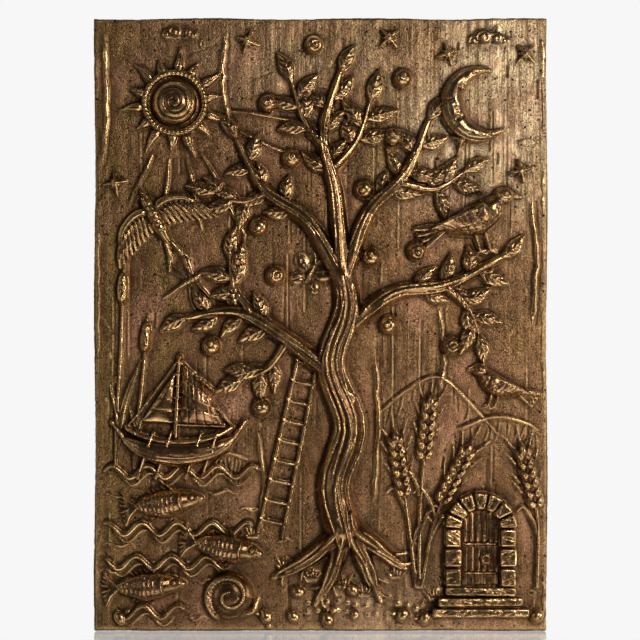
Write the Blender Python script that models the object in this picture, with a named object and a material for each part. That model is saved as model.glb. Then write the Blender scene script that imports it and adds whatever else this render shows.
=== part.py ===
"""A wall plaque cast in one piece in bronze: a plate with a hand-cut edge and a high relief on its front.

The relief is a tree with birds and fruit between sun and moon, a boat and fish on water at its left, and a
stone gateway with ears of corn at its right, with a butterfly and a dragonfly between them. The plaque is
modelled lying on its back, with x to the right, y to its top and z out of its front, and is stood upright at
the end. The origin is the middle of the flat back.
"""

import random
from math import atan2, cos, pi, radians, sin

import bmesh
import bpy
from mathutils import Matrix, Vector

# Plate
PLATE_WIDTH = 0.311
PLATE_HEIGHT = 0.420
PLATE_THICKNESS = 0.009
EDGE_WAVE = 0.0010
EDGE_BAND = 0.0040
EDGE_DROP = 0.0014
SEAM_WIDTH = 0.0050
SEAM_HEIGHT = 0.0020

# Tree
TRUNK_WIDTH = 0.0260
TRUNK_TOP_WIDTH = 0.0170
TRUNK_HEIGHT = 0.0160
ROOT_WIDTH = 0.0170
ROOT_TIP_WIDTH = 0.0040
ROOT_HEIGHT = 0.0105
BRANCH_WIDTH = 0.0130
BRANCH_TIP_WIDTH = 0.0046
BRANCH_HEIGHT = 0.0105
TWIG_WIDTH = 0.0056
TWIG_TIP_WIDTH = 0.0026
TWIG_HEIGHT = 0.0046
LEAF_LENGTH = 0.0230
LEAF_WIDTH = 0.0100
LEAF_HEIGHT = 0.0056
LEAF_ANGLE = radians(48)
FRUIT_RADIUS = 0.0066
FRUIT_HEIGHT = 0.0090
LADDER_WIDTH = 0.0170
LADDER_RAIL_WIDTH = 0.0030
LADDER_RUNG_WIDTH = 0.0024
LADDER_HEIGHT = 0.0040

# Sky
SUN_RADIUS = 0.0205
SUN_HEIGHT = 0.0130
SUN_RIM_WIDTH = 0.0046
RAY_LENGTH = 0.0190
RAY_WIDTH = 0.0068
RAY_HEIGHT = 0.0052
BEAM_WIDTH = 0.0028
BEAM_HEIGHT = 0.0026
MOON_RADIUS = 0.0220
MOON_WIDTH = 0.0160
MOON_HEIGHT = 0.0110
STAR_RADIUS = 0.0080
STAR_HEIGHT = 0.0044
CLOUD_WIDTH = 0.0240
CLOUD_HEIGHT = 0.0021

# Birds, from beak to tail, fish, from nose to tail, and insects
BIRD_LENGTH = 0.0680
SWALLOW_LENGTH = 0.0540
CHICK_LENGTH = 0.0460
FISH_LENGTH = 0.0580
DRAGONFLY_LENGTH = 0.0330
BUTTERFLY_LENGTH = 0.0250
INSECT_HEIGHT = 0.0036
WING_HEIGHT = 0.0020

# Water, boat and shell
WAVE_WIDTH = 0.0034
WAVE_RISE = 0.0042
WAVE_LENGTH = 0.0240
WAVE_HEIGHT = 0.0030
BOAT_LENGTH = 0.0780
BOAT_DEPTH = 0.0190
BOAT_HEIGHT = 0.0135
GUNWALE_WIDTH = 0.0032
MAST_WIDTH = 0.0036
MAST_LENGTH = 0.0640
MAST_HEIGHT = 0.0060
SAIL_WIDTH = 0.0310
SAIL_HEIGHT = 0.0036
SAIL_BELLY = 0.0050
SHELL_RADIUS = 0.0165
SHELL_HEIGHT = 0.0090
SHELL_RIB_WIDTH = 0.0034
SHELL_RIB_HEIGHT = 0.0016

# Reeds and corn
REED_WIDTH = 0.0024
REED_HEIGHT = 0.0026
REED_HEAD_WIDTH = 0.0074
REED_HEAD_LENGTH = 0.0210
BLADE_WIDTH = 0.0044
STALK_WIDTH = 0.0026
STALK_HEIGHT = 0.0030
GRAIN_LENGTH = 0.0105
GRAIN_WIDTH = 0.0052
GRAIN_HEIGHT = 0.0054

# Gateway
GATE_OPENING = 0.0270
JAMB_LENGTH = 0.0400
STONE_DEPTH = 0.0105
STONE_LENGTH = 0.0125
STONE_JOINT = 0.0010
STONE_HEIGHT = 0.0080
STONE_BEVEL = 0.0010
STEP_DEPTH = 0.0070
PEBBLE_RADIUS = 0.0044

# Hills behind the gateway and the ladder
HILL_WIDTH = 0.0024
HILL_HEIGHT = 0.0018

# Paths and places, as shares of the plate's half width and half height from its middle
TRUNK = [(0.12, -0.72), (0.06, -0.52), (0.13, -0.33), (0.05, -0.13), (0.12, 0.05), (0.09, 0.20)]
ROOTS = [
    [(0.12, -0.66), (-0.05, -0.76), (-0.22, -0.83)],
    [(0.12, -0.66), (0.05, -0.81), (-0.03, -0.92)],
    [(0.12, -0.66), (0.21, -0.80), (0.27, -0.91)],
    [(0.12, -0.66), (0.28, -0.74), (0.38, -0.80)],
]
BRANCHES = [
    [(0.06, -0.17), (-0.14, -0.05), (-0.36, 0.04), (-0.60, 0.02)],
    [(0.10, -0.02), (0.32, 0.10), (0.56, 0.13), (0.80, 0.22)],
    [(0.10, 0.14), (-0.05, 0.33), (-0.25, 0.44), (-0.37, 0.61)],
    [(0.10, 0.14), (0.21, 0.36), (0.37, 0.49), (0.48, 0.67)],
    [(0.10, 0.14), (0.07, 0.42), (0.01, 0.62), (0.09, 0.83)],
]
TWIGS = [
    [(-0.30, 0.03), (-0.38, 0.12), (-0.40, 0.22)],
    [(0.54, 0.13), (0.64, 0.06), (0.70, -0.04)],
    [(-0.14, -0.05), (-0.23, -0.14), (-0.35, -0.18)],
    [(-0.22, 0.43), (-0.35, 0.40), (-0.48, 0.43)],
    [(0.05, 0.50), (0.16, 0.60), (0.22, 0.73)],
    [(0.04, 0.56), (-0.07, 0.66), (-0.13, 0.80)],
    [(0.34, 0.46), (0.50, 0.44), (0.64, 0.50)],
]
FRUITS = [
    (-0.20, 0.16), (-0.48, -0.07), (0.30, 0.00), (0.42, 0.24), (-0.13, 0.54), (0.32, 0.61), (0.19, 0.44),
    (-0.03, 0.91), (0.36, 0.80), (-0.26, -0.27), (-0.27, 0.32), (0.57, -0.07), (0.22, 0.22), (-0.23, 0.72),
]
LADDER = [(-0.22, -0.68), (-0.05, -0.10)]
SUN = (-0.64, 0.72)
BEAMS = [(-8, 0.058), (-24, 0.046), (-62, 0.066), (-78, 0.052), (-96, 0.060), (-114, 0.040)]
MOON = (0.72, 0.72)
STARS = [(0.56, 0.88), (0.90, 0.88), (0.62, 0.60), (0.88, 0.50), (0.30, 0.93), (-0.32, 0.92), (-0.90, 0.46)]
BIRD = (0.68, 0.34)
SWALLOW = (-0.72, 0.34)
CHICK = (0.78, -0.20)
DRAGONFLY = (-0.60, 0.13)
BUTTERFLY = (-0.05, 0.16)
CLOUDS = [(0.74, 0.925), (-0.62, 0.945)]
FISHES = [(-0.68, -0.580, 8), (-0.42, -0.725, -10), (-0.76, -0.850, 4)]
WAVES = [(-0.955, -0.27, -0.480), (-0.955, -0.30, -0.665), (-0.955, -0.40, -0.775), (-0.90, -0.60, -0.935)]
BOAT = (-0.62, -0.410)
SHELL = (-0.40, -0.880)
REEDS = [(-0.90, -0.46, 0.10, 0.03), (-0.82, -0.47, -0.06, 0.05)]
CORN = [
    [(0.42, -0.86), (0.38, -0.62), (0.33, -0.38)],
    [(0.43, -0.86), (0.44, -0.55), (0.48, -0.26)],
    [(0.44, -0.86), (0.51, -0.62), (0.64, -0.42)],
    [(0.95, -0.86), (0.95, -0.62), (0.89, -0.42)],
]
GATE = (0.70, -0.85)
PEBBLES = [
    (-0.12, -0.950), (0.03, -0.960), (0.15, -0.945), (0.36, -0.945), (0.46, -0.955), (-0.24, -0.950),
    (-0.10, -0.87), (-0.88, -0.955), (0.95, -0.950), (0.14, -0.865),
]
HILLS = [
    [(0.24, -0.30), (0.38, -0.21), (0.52, -0.17), (0.66, -0.26), (0.78, -0.36)],
    [(0.60, -0.34), (0.76, -0.30), (0.90, -0.32), (0.96, -0.35)],
    [(-0.52, -0.50), (-0.42, -0.42), (-0.32, -0.44)],
]
SEAMS = [
    [(-0.42, 0.95), (-0.43, 0.78), (-0.40, 0.66)],
    [(0.52, 0.05), (0.54, -0.10), (0.52, -0.22)],
    [(-0.28, -0.34), (-0.25, -0.50), (-0.27, -0.66)],
    [(0.93, 0.40), (0.95, 0.20), (0.93, 0.00)],
    [(-0.95, 0.94), (-0.94, 0.70), (-0.96, 0.52)],
    [(0.24, -0.10), (0.25, -0.32), (0.23, -0.58)],
]

# Steps in the half round top of a form's section. A keen one has plain sides that meet at its top.
TOPS = {"round": 4, "soft": 3, "keeled": 2, "keen": 0}

TURN = 2 * pi
chance = random.Random(11)
relief = bpy.data.collections.new("relief")


def spot(u, v):
    """The point of the front at these shares of the half width and half height."""
    return Vector((u * PLATE_WIDTH / 2, v * PLATE_HEIGHT / 2))


def direction(angle):
    return Vector((cos(angle), sin(angle)))


def smooth_line(points, count):
    """Count points along a smooth curve through these."""
    padded = [2 * points[0] - points[1], *points, 2 * points[-1] - points[-2]]
    line = []
    for i in range(count):
        along = i / (count - 1) * (len(points) - 1)
        k = min(int(along), len(points) - 2)
        t = along - k
        a, b, c, d = padded[k : k + 4]
        bend = (c - a) * t + (2 * a - 5 * b + 4 * c - d) * t**2 + (3 * b - a - 3 * c + d) * t**3
        line.append(b + bend / 2)
    return line


def path(shares, count):
    return smooth_line([spot(*share) for share in shares], count)


def between(values):
    """A function of 0 to 1 that runs straight from each value to the next."""
    if not isinstance(values, (list, tuple)):
        values = [values, values]

    def value(t):
        along = t * (len(values) - 1)
        k = min(int(along), len(values) - 2)
        return values[k] + (values[k + 1] - values[k]) * (along - k)

    return value


def footing(least=0.12, most=0.35):
    """How far under the ground a form's underside lies, inside the plate. No two forms share a depth."""
    return -PLATE_THICKNESS * chance.uniform(least, most)


def element(name, bm):
    """Keeps a closed shape as one form of the relief."""
    bmesh.ops.recalc_face_normals(bm, faces=bm.faces)
    if bm.calc_volume(signed=True) < 0:
        bmesh.ops.reverse_faces(bm, faces=bm.faces)
    mesh = bpy.data.meshes.new(name)
    bm.to_mesh(mesh)
    bm.free()
    made = bpy.data.objects.new(name, mesh)
    made.hide_render = True
    made.display_type = "WIRE"
    relief.objects.link(made)


def skin(name, sections):
    """A closed form through rings of points above the ground. A ring may close to a line or a point."""
    bm = bmesh.new()
    column = bm.verts.layers.int.new("column")
    ring = bmesh.ops.create_circle(bm, segments=len(sections[0]), radius=1)["verts"]
    for k, vert in enumerate(ring):
        vert[column] = k
    edges = list(bm.edges)
    for i, section in enumerate(sections):
        if i:
            made = bmesh.ops.extrude_edge_only(bm, edges=edges)["geom"]
            ring = [item for item in made if isinstance(item, bmesh.types.BMVert)]
            edges = [item for item in made if isinstance(item, bmesh.types.BMEdge)]
            edges = [edge for edge in edges if all(vert in ring for vert in edge.verts)]
        for vert in ring:
            vert.co = section[vert[column]] + Vector((0, 0, PLATE_THICKNESS))
        if i in (0, len(sections) - 1):
            bmesh.ops.contextual_create(bm, geom=edges)
    bmesh.ops.remove_doubles(bm, verts=bm.verts, dist=0.00001)
    element(name, bm)


def ridge(name, line, width, height, top="soft", shoulder=0.0, pointed=(False, True)):
    """A form drawn along a line. Its width and its height above the ground are one value or a list of them.

    A keen form slopes into the ground where it is pointed, and any other ends there in an upright edge.
    """
    steps = round(TOPS[top])
    width, height, root = between(width), between(height), footing() if steps else footing(0.06, 0.12)
    angles = [pi * k / steps for k in range(steps + 1)] if steps else [pi / 2]
    up = Vector((0, 0, 1))
    sections = []
    for i, point in enumerate(line):
        t = i / (len(line) - 1)
        ahead = (line[min(i + 1, len(line) - 1)] - line[max(i - 1, 0)]).normalized()
        closes = (i == 0 and pointed[0]) or (i == len(line) - 1 and pointed[1])
        across = Vector((-ahead.y, ahead.x)) * (0 if closes else width(t) / 2)
        below = across if steps else across * (1 - root / height(t))
        section = [(point + side * below).to_3d() + up * root for side in (1, -1)]
        for angle in angles:
            rise = height(t) * (1 if closes else shoulder + (1 - shoulder) * sin(angle))
            rise = root if closes and not steps else rise
            section.append((point - across * cos(angle)).to_3d() + up * rise)
        sections.append(section)
    skin(name, sections)


def bar(name, start, end, width, height):
    ridge(name, [start, end], width, height, "keen", 0, (False, False))


def dome(name, at, radius, height, rise=0.0, sides=7, levels=2, turn=0.0, stretch=1.0):
    """A round lump with upright sides up to its rise, stretched along its turn."""
    angles = [pi / 2 * i / levels for i in range(levels)]
    profile = [(cos(angle), rise + height * sin(angle)) for angle in angles]
    profile = [(1, footing()), *profile, (0, rise + height)]
    sections = []
    for share, z in profile:
        ring = []
        for k in range(sides):
            way = direction(TURN * k / sides)
            way = Matrix.Rotation(turn, 2) @ Vector((way.x * stretch, way.y))
            ring.append((at + way * radius * share).to_3d() + Vector((0, 0, z)))
        sections.append(ring)
    skin(name, sections)


def hoop(name, at, radius, width, height, count):
    """A closed ring that lies on the ground."""
    root = footing()
    angles = [pi * k / TOPS["soft"] for k in range(TOPS["soft"] + 1)]
    section = [(1, root), (-1, root), *((-cos(angle), height * sin(angle)) for angle in angles)]
    bm = bmesh.new()
    verts = bmesh.ops.create_circle(bm, segments=len(section), radius=1)["verts"]
    for vert, (side, z) in zip(verts, section):
        vert.co = (at.x + radius + side * width / 2, at.y, PLATE_THICKNESS + z)
    loop = verts + list(bm.edges)
    centre = (at.x, at.y, 0)
    bmesh.ops.spin(bm, geom=loop, cent=centre, axis=(0, 0, 1), angle=TURN, steps=count, use_merge=True)
    bmesh.ops.remove_doubles(bm, verts=bm.verts, dist=0.00001)
    element(name, bm)


def panel(name, corners, height, belly):
    """A flat piece with these corners, whose face swells to its middle."""
    bm = bmesh.new()
    root = PLATE_THICKNESS + footing()
    face = bm.faces.new([bm.verts.new((corner.x, corner.y, root)) for corner in corners])
    made = bmesh.ops.extrude_face_region(bm, geom=[face], use_keep_orig=True)["geom"]
    for vert in (item for item in made if isinstance(item, bmesh.types.BMVert)):
        vert.co.z = PLATE_THICKNESS + height
    cover = [item for item in made if isinstance(item, bmesh.types.BMFace)]
    bmesh.ops.translate(bm, vec=(0, 0, belly), verts=bmesh.ops.poke(bm, faces=cover)["verts"])
    element(name, bm)


def block(name, at, length, width, height, turn=0.0):
    """A squared stone with its upper edges worn, set into the ground."""
    bm = bmesh.new()
    root = footing()
    place = Matrix.Translation((at.x, at.y, PLATE_THICKNESS + (root + height) / 2))
    size = Matrix.Diagonal((length, width, height - root, 1))
    bmesh.ops.create_cube(bm, size=1, matrix=place @ Matrix.Rotation(turn, 4, "Z") @ size)
    upper = [edge for edge in bm.edges if all(vert.co.z > PLATE_THICKNESS for vert in edge.verts)]
    bmesh.ops.bevel(bm, geom=upper, offset=STONE_BEVEL, segments=1, affect="EDGES", profile=0.5, material=-1)
    element(name, bm)


def placed(points, at, heading, size, mirrored=False):
    """Points given as shares of a figure's length, in place on the front."""
    flip = Vector((1, -1 if mirrored else 1))
    return [at + Matrix.Rotation(heading, 2) @ (Vector(point) * flip) * size for point in points]


def shares_of(size, *values):
    return [value * size for value in values]


def outline(steps):
    """The plate's edge, from its lower left corner round. It wavers between its full size and a bit less."""
    corners = [Vector(corner) for corner in ((-1, -1), (1, -1), (1, 1), (-1, 1))]
    points = []
    for corner, after in zip(corners, corners[1:] + corners[:1]):
        for i in range(steps):
            u, v = corner.lerp(after, i / steps)
            at = spot(u, v)
            if abs(u) == 1:
                at.x -= u * EDGE_WAVE * (0.5 + 0.5 * sin(7 * v + 2 * u))
            if abs(v) == 1:
                at.y -= v * EDGE_WAVE * (0.5 + 0.5 * sin(9 * u + 3 * v))
            points.append(at)
    return points


def plate():
    """The cast plate: a flat back, edges that waver, and a flat front with a worn edge."""
    bm = bmesh.new()
    face = bm.faces.new([bm.verts.new((point.x, point.y, 0)) for point in outline(10)])
    made = bmesh.ops.extrude_face_region(bm, geom=[face], use_keep_orig=True)["geom"]
    for vert in (item for item in made if isinstance(item, bmesh.types.BMVert)):
        vert.co.z = PLATE_THICKNESS - EDGE_DROP
    front = [item for item in made if isinstance(item, bmesh.types.BMFace)]
    bmesh.ops.inset_region(bm, faces=front, thickness=EDGE_BAND, use_even_offset=True)
    for vert in {vert for face in front for vert in face.verts}:
        vert.co.z = PLATE_THICKNESS
    bmesh.ops.recalc_face_normals(bm, faces=bm.faces)
    mesh = bpy.data.meshes.new("relief_plaque")
    bm.to_mesh(mesh)
    bm.free()
    made = bpy.data.objects.new("relief_plaque", mesh)
    bpy.context.scene.collection.objects.link(made)
    return made


def seams():
    """Long low seams in the ground, as where sheets of wax were laid side by side."""
    for i, shares in enumerate(SEAMS):
        ridge(f"seam_{i}", path(shares, 5), SEAM_WIDTH, SEAM_HEIGHT, "keen", 0, (True, True))


def leaf(name, start, heading, length):
    """A pointed leaf with a keel, which lifts from the ground towards its middle."""
    bend = chance.uniform(-0.2, 0.2)
    line = [start + direction(heading + bend * t) * length * t for t in (0, 0.45, 1)]
    width = [0, LEAF_WIDTH, 0]
    height = [LEAF_HEIGHT * share for share in (0.5, 1.0, 0.5)]
    ridge(name, line, width, height, "keen", 0, (True, True))


def leaves(name, line):
    """A pair of leaves at each point of the line, one ahead of the other, and one leaf at its tip."""
    for i in range(1, len(line)):
        ahead = (line[i] - line[i - 1]).normalized()
        for side in (-1, 1) if i < len(line) - 1 else (0,):
            start = line[i] - ahead * LEAF_WIDTH * (0.25 + 0.3 * side)
            length = LEAF_LENGTH * chance.uniform(0.85, 1.1)
            leaf(f"{name}_leaf_{i}_{side + 1}", start, atan2(ahead.y, ahead.x) + side * LEAF_ANGLE, length)


def tree():
    width, height = [TRUNK_WIDTH, TRUNK_TOP_WIDTH], [TRUNK_HEIGHT, BRANCH_HEIGHT]
    ridge("trunk", path(TRUNK, 9), width, height, "round", 0.15, (False, False))
    width, height = [ROOT_WIDTH, ROOT_TIP_WIDTH], [ROOT_HEIGHT, ROOT_HEIGHT / 4]
    for i, shares in enumerate(ROOTS):
        ridge(f"root_{i}", path(shares, 5), width, height, "soft", 0.1)
    width, height = [BRANCH_WIDTH, BRANCH_TIP_WIDTH], [BRANCH_HEIGHT, BRANCH_HEIGHT / 2]
    for i, shares in enumerate(BRANCHES):
        line = path(shares, 7)
        ridge(f"branch_{i}", line, width, height, "soft", 0.2)
        leaves(f"branch_{i}", line[2:])
    width, height = [TWIG_WIDTH, TWIG_TIP_WIDTH], [TWIG_HEIGHT, TWIG_HEIGHT / 2]
    for i, shares in enumerate(TWIGS):
        line = path(shares, 5)
        ridge(f"twig_{i}", line, width, height, "keeled", 0.3)
        leaves(f"twig_{i}", line[1:])
    for i, share in enumerate(FRUITS):
        dome(f"fruit_{i}", spot(*share), FRUIT_RADIUS, FRUIT_HEIGHT * 0.8, FRUIT_HEIGHT * 0.2)


def ladder():
    foot, head = (spot(*share) for share in LADDER)
    ahead = (head - foot).normalized()
    across = Vector((-ahead.y, ahead.x)) * LADDER_WIDTH / 2
    for side in (-1, 1):
        low, high = foot + side * across, head + side * across * 0.8
        bar(f"ladder_rail_{side + 1}", low, high, LADDER_RAIL_WIDTH, LADDER_HEIGHT)
    rungs = 9
    for i in range(rungs):
        middle = foot.lerp(head, (i + 0.6) / rungs)
        bar(f"ladder_rung_{i}", middle - across, middle + across, LADDER_RUNG_WIDTH, LADDER_HEIGHT * 0.8)


def sun():
    at = spot(*SUN)
    dome("sun", at, SUN_RADIUS * 0.74, SUN_HEIGHT * 0.8, SUN_HEIGHT * 0.2, 12, 3)
    hoop("sun_rim", at, SUN_RADIUS, SUN_RIM_WIDTH, RAY_HEIGHT, 16)
    rays = 14
    for i in range(rays):
        way = direction(TURN * (i + 0.3) / rays)
        length = RAY_LENGTH * (1.0 if i % 2 else 0.62)
        line = [at + way * (SUN_RADIUS + length * t) for t in (0, 0.4, 1)]
        ridge(f"ray_{i}", line, shares_of(RAY_WIDTH, 0.8, 1, 0), shares_of(RAY_HEIGHT, 0.8, 1, 0.4), "keen")
    for i, (angle, length) in enumerate(BEAMS):
        way = direction(radians(angle))
        start = at + way * (SUN_RADIUS + RAY_LENGTH * 0.9)
        line = [start, start + way * length * 0.4, start + way * length]
        ridge(f"beam_{i}", line, [0, BEAM_WIDTH, 0], BEAM_HEIGHT, "keen", 0, (True, True))


def moon():
    at = spot(*MOON)
    start, sweep, count = radians(75), radians(235), 11
    shares = [i / (count - 1) for i in range(count)]
    line = [at + direction(start + sweep * t) * MOON_RADIUS for t in shares]
    width = [MOON_WIDTH * sin(pi * t) for t in shares]
    height = [MOON_HEIGHT * (0.35 + 0.65 * sin(pi * t)) for t in shares]
    ridge("moon", line, width, height, "soft", 0.2, (True, True))
    for i, share in enumerate(STARS):
        star(f"star_{i}", spot(*share))


def star(name, at):
    """A boss drawn out into four points."""
    root = footing()
    sections = []
    for share, z in ((1, root), (1, 0), (0, STAR_HEIGHT)):
        ring = []
        for k in range(8):
            radius = STAR_RADIUS * (0.42 if k % 2 else 1) * share
            ring.append((at + direction(TURN * k / 8 + 0.4) * radius).to_3d() + Vector((0, 0, z)))
        sections.append(ring)
    skin(name, sections)


def perched_bird(name, at, heading, size, mirrored=False):
    """A bird seen from the side, its beak towards its heading, with a folded wing and three tail feathers."""

    def spots(*points):
        return placed(points, at, heading, size, mirrored)

    back = spots((-0.34, -0.06), (-0.16, -0.03), (0.02, 0), (0.17, 0.09))
    head = spots((0.28, 0.20), (0.38, 0.21), (0.50, 0.18))
    width = shares_of(size, 0.10, 0.23, 0.31, 0.26, 0.19, 0.10, 0)
    height = shares_of(size, 0.10, 0.17, 0.21, 0.19, 0.17, 0.10, 0.06)
    ridge(f"{name}_body", back + head, width, height, "round", 0.1)
    wing = spots((0.16, 0.07), (-0.02, 0.05), (-0.22, 0.0), (-0.44, -0.06))
    width, height = shares_of(size, 0.08, 0.20, 0.17, 0), shares_of(size, 0.20, 0.245, 0.20, 0.09)
    ridge(f"{name}_wing", wing, width, height, "keeled", 0.75)
    width, height = shares_of(size, 0.06, 0.072, 0.03), shares_of(size, 0.10, 0.08, 0.05)
    for i in range(3):
        middle, tip = (-0.45 + 0.015 * i, -0.035 - 0.042 * i), (-0.62 + 0.03 * i, -0.04 - 0.085 * i)
        feather = spots((-0.28, -0.05), middle, tip)
        ridge(f"{name}_tail_{i}", feather, width, height, "keen", 0, (False, False))
    dome(f"{name}_eye", *spots((0.30, 0.215)), 0.028 * size, 0.02 * size, 0.175 * size, 6, 1)
    for i, foot in enumerate((-0.02, 0.08)):
        bar(f"{name}_leg_{i}", *spots((foot, -0.08), (foot + 0.03, -0.33)), 0.036 * size, 0.07 * size)


def flying_bird(name, at, heading, size):
    """A bird in flight seen from above, with swept wings and a forked tail."""
    body = [(-0.36, 0.0), (-0.15, 0.0), (0.08, 0.0), (0.26, 0.0), (0.36, 0.0), (0.46, 0.0)]
    width = shares_of(size, 0.07, 0.16, 0.22, 0.17, 0.08, 0)
    height = shares_of(size, 0.08, 0.14, 0.19, 0.17, 0.10, 0.05)
    ridge(f"{name}_body", placed(body, at, heading, size), width, height, "round", 0.1)
    for side in (0, 1):
        wing = placed([(0.14, 0.02), (0.12, 0.28), (-0.04, 0.50), (-0.32, 0.66)], at, heading, size, side)
        width, height = shares_of(size, 0.22, 0.18, 0.11, 0), shares_of(size, 0.12, 0.12, 0.10, 0.04)
        ridge(f"{name}_wing_{side}", wing, width, height, "keeled", 0.4)
        fork = placed([(-0.28, 0.02), (-0.48, 0.08), (-0.66, 0.17)], at, heading, size, side)
        width, height = shares_of(size, 0.07, 0.07, 0), shares_of(size, 0.09, 0.07, 0.04)
        ridge(f"{name}_fork_{side}", fork, width, height, "keen")


def dragonfly(at, heading, size):
    """A dragonfly seen from above, with four long wings."""
    body = placed([(0.50, 0.0), (0.22, 0.0), (0.0, 0.01), (-0.55, -0.02)], at, heading, size)
    width = shares_of(size, 0.07, 0.14, 0.12, 0.05)
    height = shares_of(INSECT_HEIGHT, 0.7, 1, 0.9, 0.5)
    ridge("dragonfly_body", body, width, height, "keeled", 0.3, (False, False))
    for side in (0, 1):
        for root, tip in ((0.24, (0.34, 0.62)), (0.13, (-0.10, 0.58))):
            wing = placed([(root, 0.03), ((root + tip[0]) / 2, 0.32), tip], at, heading, size, side)
            name = f"dragonfly_wing_{side}_{root}"
            ridge(name, wing, shares_of(size, 0.06, 0.16, 0), shares_of(WING_HEIGHT, 1, 0.9, 0.6), "keen")


def butterfly(at, heading, size):
    """A butterfly with open wings."""
    bar("butterfly_body", *placed([(0.36, 0.0), (-0.42, 0.0)], at, heading, size), 0.11 * size, INSECT_HEIGHT)
    for side in (0, 1):
        lean = radians(52) * (-1) ** side
        for place, radius, stretch, share in (((0.24, 0.34), 0.21, 1.45, 1), ((-0.22, 0.25), 0.17, 1.25, -1)):
            middle = placed([place], at, heading, size, side)[0]
            name = f"butterfly_wing_{side}_{radius}"
            dome(name, middle, radius * size, WING_HEIGHT, 0, 7, 2, heading + share * lean, stretch)


def clouds():
    """Low clouds, each of four lumps that run together."""
    lumps = ((-0.85, 0.0, 0.34), (-0.30, 0.16, 0.52), (0.38, 0.10, 0.44), (0.90, -0.02, 0.28))
    for i, share in enumerate(CLOUDS):
        for k, (x, y, radius) in enumerate(lumps):
            middle = spot(*share) + Vector((x, y)) * CLOUD_WIDTH / 2
            dome(f"cloud_{i}_{k}", middle, radius * CLOUD_WIDTH / 2, CLOUD_HEIGHT, 0, 7, 2, 0, 1.25)


def hills():
    for i, shares in enumerate(HILLS):
        ridge(f"hill_{i}", path(shares, 6), HILL_WIDTH, HILL_HEIGHT, "keen", 0, (True, True))


def fish(name, at, heading, size):
    """A fish seen from the side, with a gill, fins and a split tail."""
    body = [(-0.36, 0.01), (-0.18, 0.0), (0.02, -0.01), (0.22, 0.0), (0.36, 0.0), (0.46, -0.01)]
    width = shares_of(size, 0.09, 0.23, 0.33, 0.31, 0.20, 0.04)
    height = shares_of(size, 0.08, 0.13, 0.17, 0.17, 0.12, 0.05)
    ridge(f"{name}_body", placed(body, at, heading, size), width, height, "round", 0.1, (False, False))
    for side in (0, 1):
        tail = placed([(-0.32, 0.0), (-0.44, 0.07), (-0.56, 0.20)], at, heading, size, side)
        width = shares_of(size, 0.06, 0.11, 0.03)
        ridge(f"{name}_tail_{side}", tail, width, 0.07 * size, "keen", 0, (False, False))
        fin = placed([(0.10, 0.12), (-0.02, 0.19), (-0.16, 0.22)], at, heading, size, side)
        ridge(f"{name}_fin_{side}", fin, shares_of(size, 0.05, 0.08, 0), 0.07 * size, "keen")
    gill = smooth_line(placed([(0.20, 0.13), (0.165, 0.0), (0.20, -0.13)], at, heading, size), 5)
    height = shares_of(size, 0.10, 0.175, 0.195, 0.175, 0.10)
    ridge(f"{name}_gill", gill, 0.03 * size, height, "keeled", 0.8, (True, True))
    eye = placed([(0.32, 0.03)], at, heading, size)[0]
    dome(f"{name}_eye", eye, 0.034 * size, 0.03 * size, 0.13 * size, 6, 1)


def water():
    """Rows of waves with fish between them, and a wound shell at the bottom."""
    for i, (left, right, level) in enumerate(WAVES):
        start, end = spot(left, level), spot(right, level)
        count = int((end.x - start.x) / WAVE_LENGTH * 4) + 1
        line = [start.lerp(end, k / (count - 1)) for k in range(count)]
        for point in line:
            point.y += WAVE_RISE * sin(TURN * (point.x - start.x) / WAVE_LENGTH + i)
        ridge(f"wave_{i}", line, WAVE_WIDTH, WAVE_HEIGHT, "keen", 0, (True, True))
    for i, (u, v, angle) in enumerate(FISHES):
        fish(f"fish_{i}", spot(u, v), radians(angle), FISH_LENGTH)
    shell(spot(*SHELL))


def shell(at):
    """A low round shell with a rib wound from its edge to its middle."""
    dome("shell", at, SHELL_RADIUS, SHELL_HEIGHT, 0, 12, 3)
    turns, count = 1.7, 16
    line, height = [], []
    for i in range(count):
        share = 1 - 0.86 * i / (count - 1)
        line.append(at + direction(TURN * turns * share) * SHELL_RADIUS * share)
        height.append(SHELL_HEIGHT * (1 - share**2) ** 0.5 + SHELL_RIB_HEIGHT)
    ridge("shell_rib", line, SHELL_RIB_WIDTH, height, "keeled", 0.8, (False, False))


def boat():
    at = spot(*BOAT)
    hull = [(-0.52, 0.13), (-0.30, 0.02), (0.0, -0.02), (0.30, 0.02), (0.52, 0.14)]
    hull = smooth_line(placed(hull, at, 0, BOAT_LENGTH), 7)
    width, height = shares_of(BOAT_DEPTH, 0, 0.8, 1, 0.8, 0), shares_of(BOAT_HEIGHT, 0.3, 0.8, 1, 0.8, 0.3)
    ridge("hull", hull, width, height, "round", 0.15, (True, True))
    gunwale = [point + Vector((0, BOAT_DEPTH * 0.42)) for point in hull[1:-1]]
    height = shares_of(BOAT_HEIGHT, 0.4, 0.75, 0.75, 0.4)
    ridge("gunwale", gunwale, GUNWALE_WIDTH, height, "keeled", 0.6, (True, True))
    foot = at - Vector((0.04 * BOAT_LENGTH, 0))
    top = foot + Vector((0.05 * MAST_LENGTH, MAST_LENGTH))
    bar("mast", foot, top, MAST_WIDTH, MAST_HEIGHT)
    clear = Vector((MAST_WIDTH * 0.7, 0))
    reach = Vector((SAIL_WIDTH, 0))
    sail = [(0.30, clear), (0.28, reach), (0.62, reach * 0.72), (0.96, clear)]
    panel("sail", [foot.lerp(top, share) + away for share, away in sail], SAIL_HEIGHT, SAIL_BELLY)
    jib = [(0.32, -reach * 0.75), (0.30, -clear), (0.82, -clear)]
    panel("jib", [foot.lerp(top, share) + away for share, away in jib], SAIL_HEIGHT, SAIL_BELLY / 2)


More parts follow.
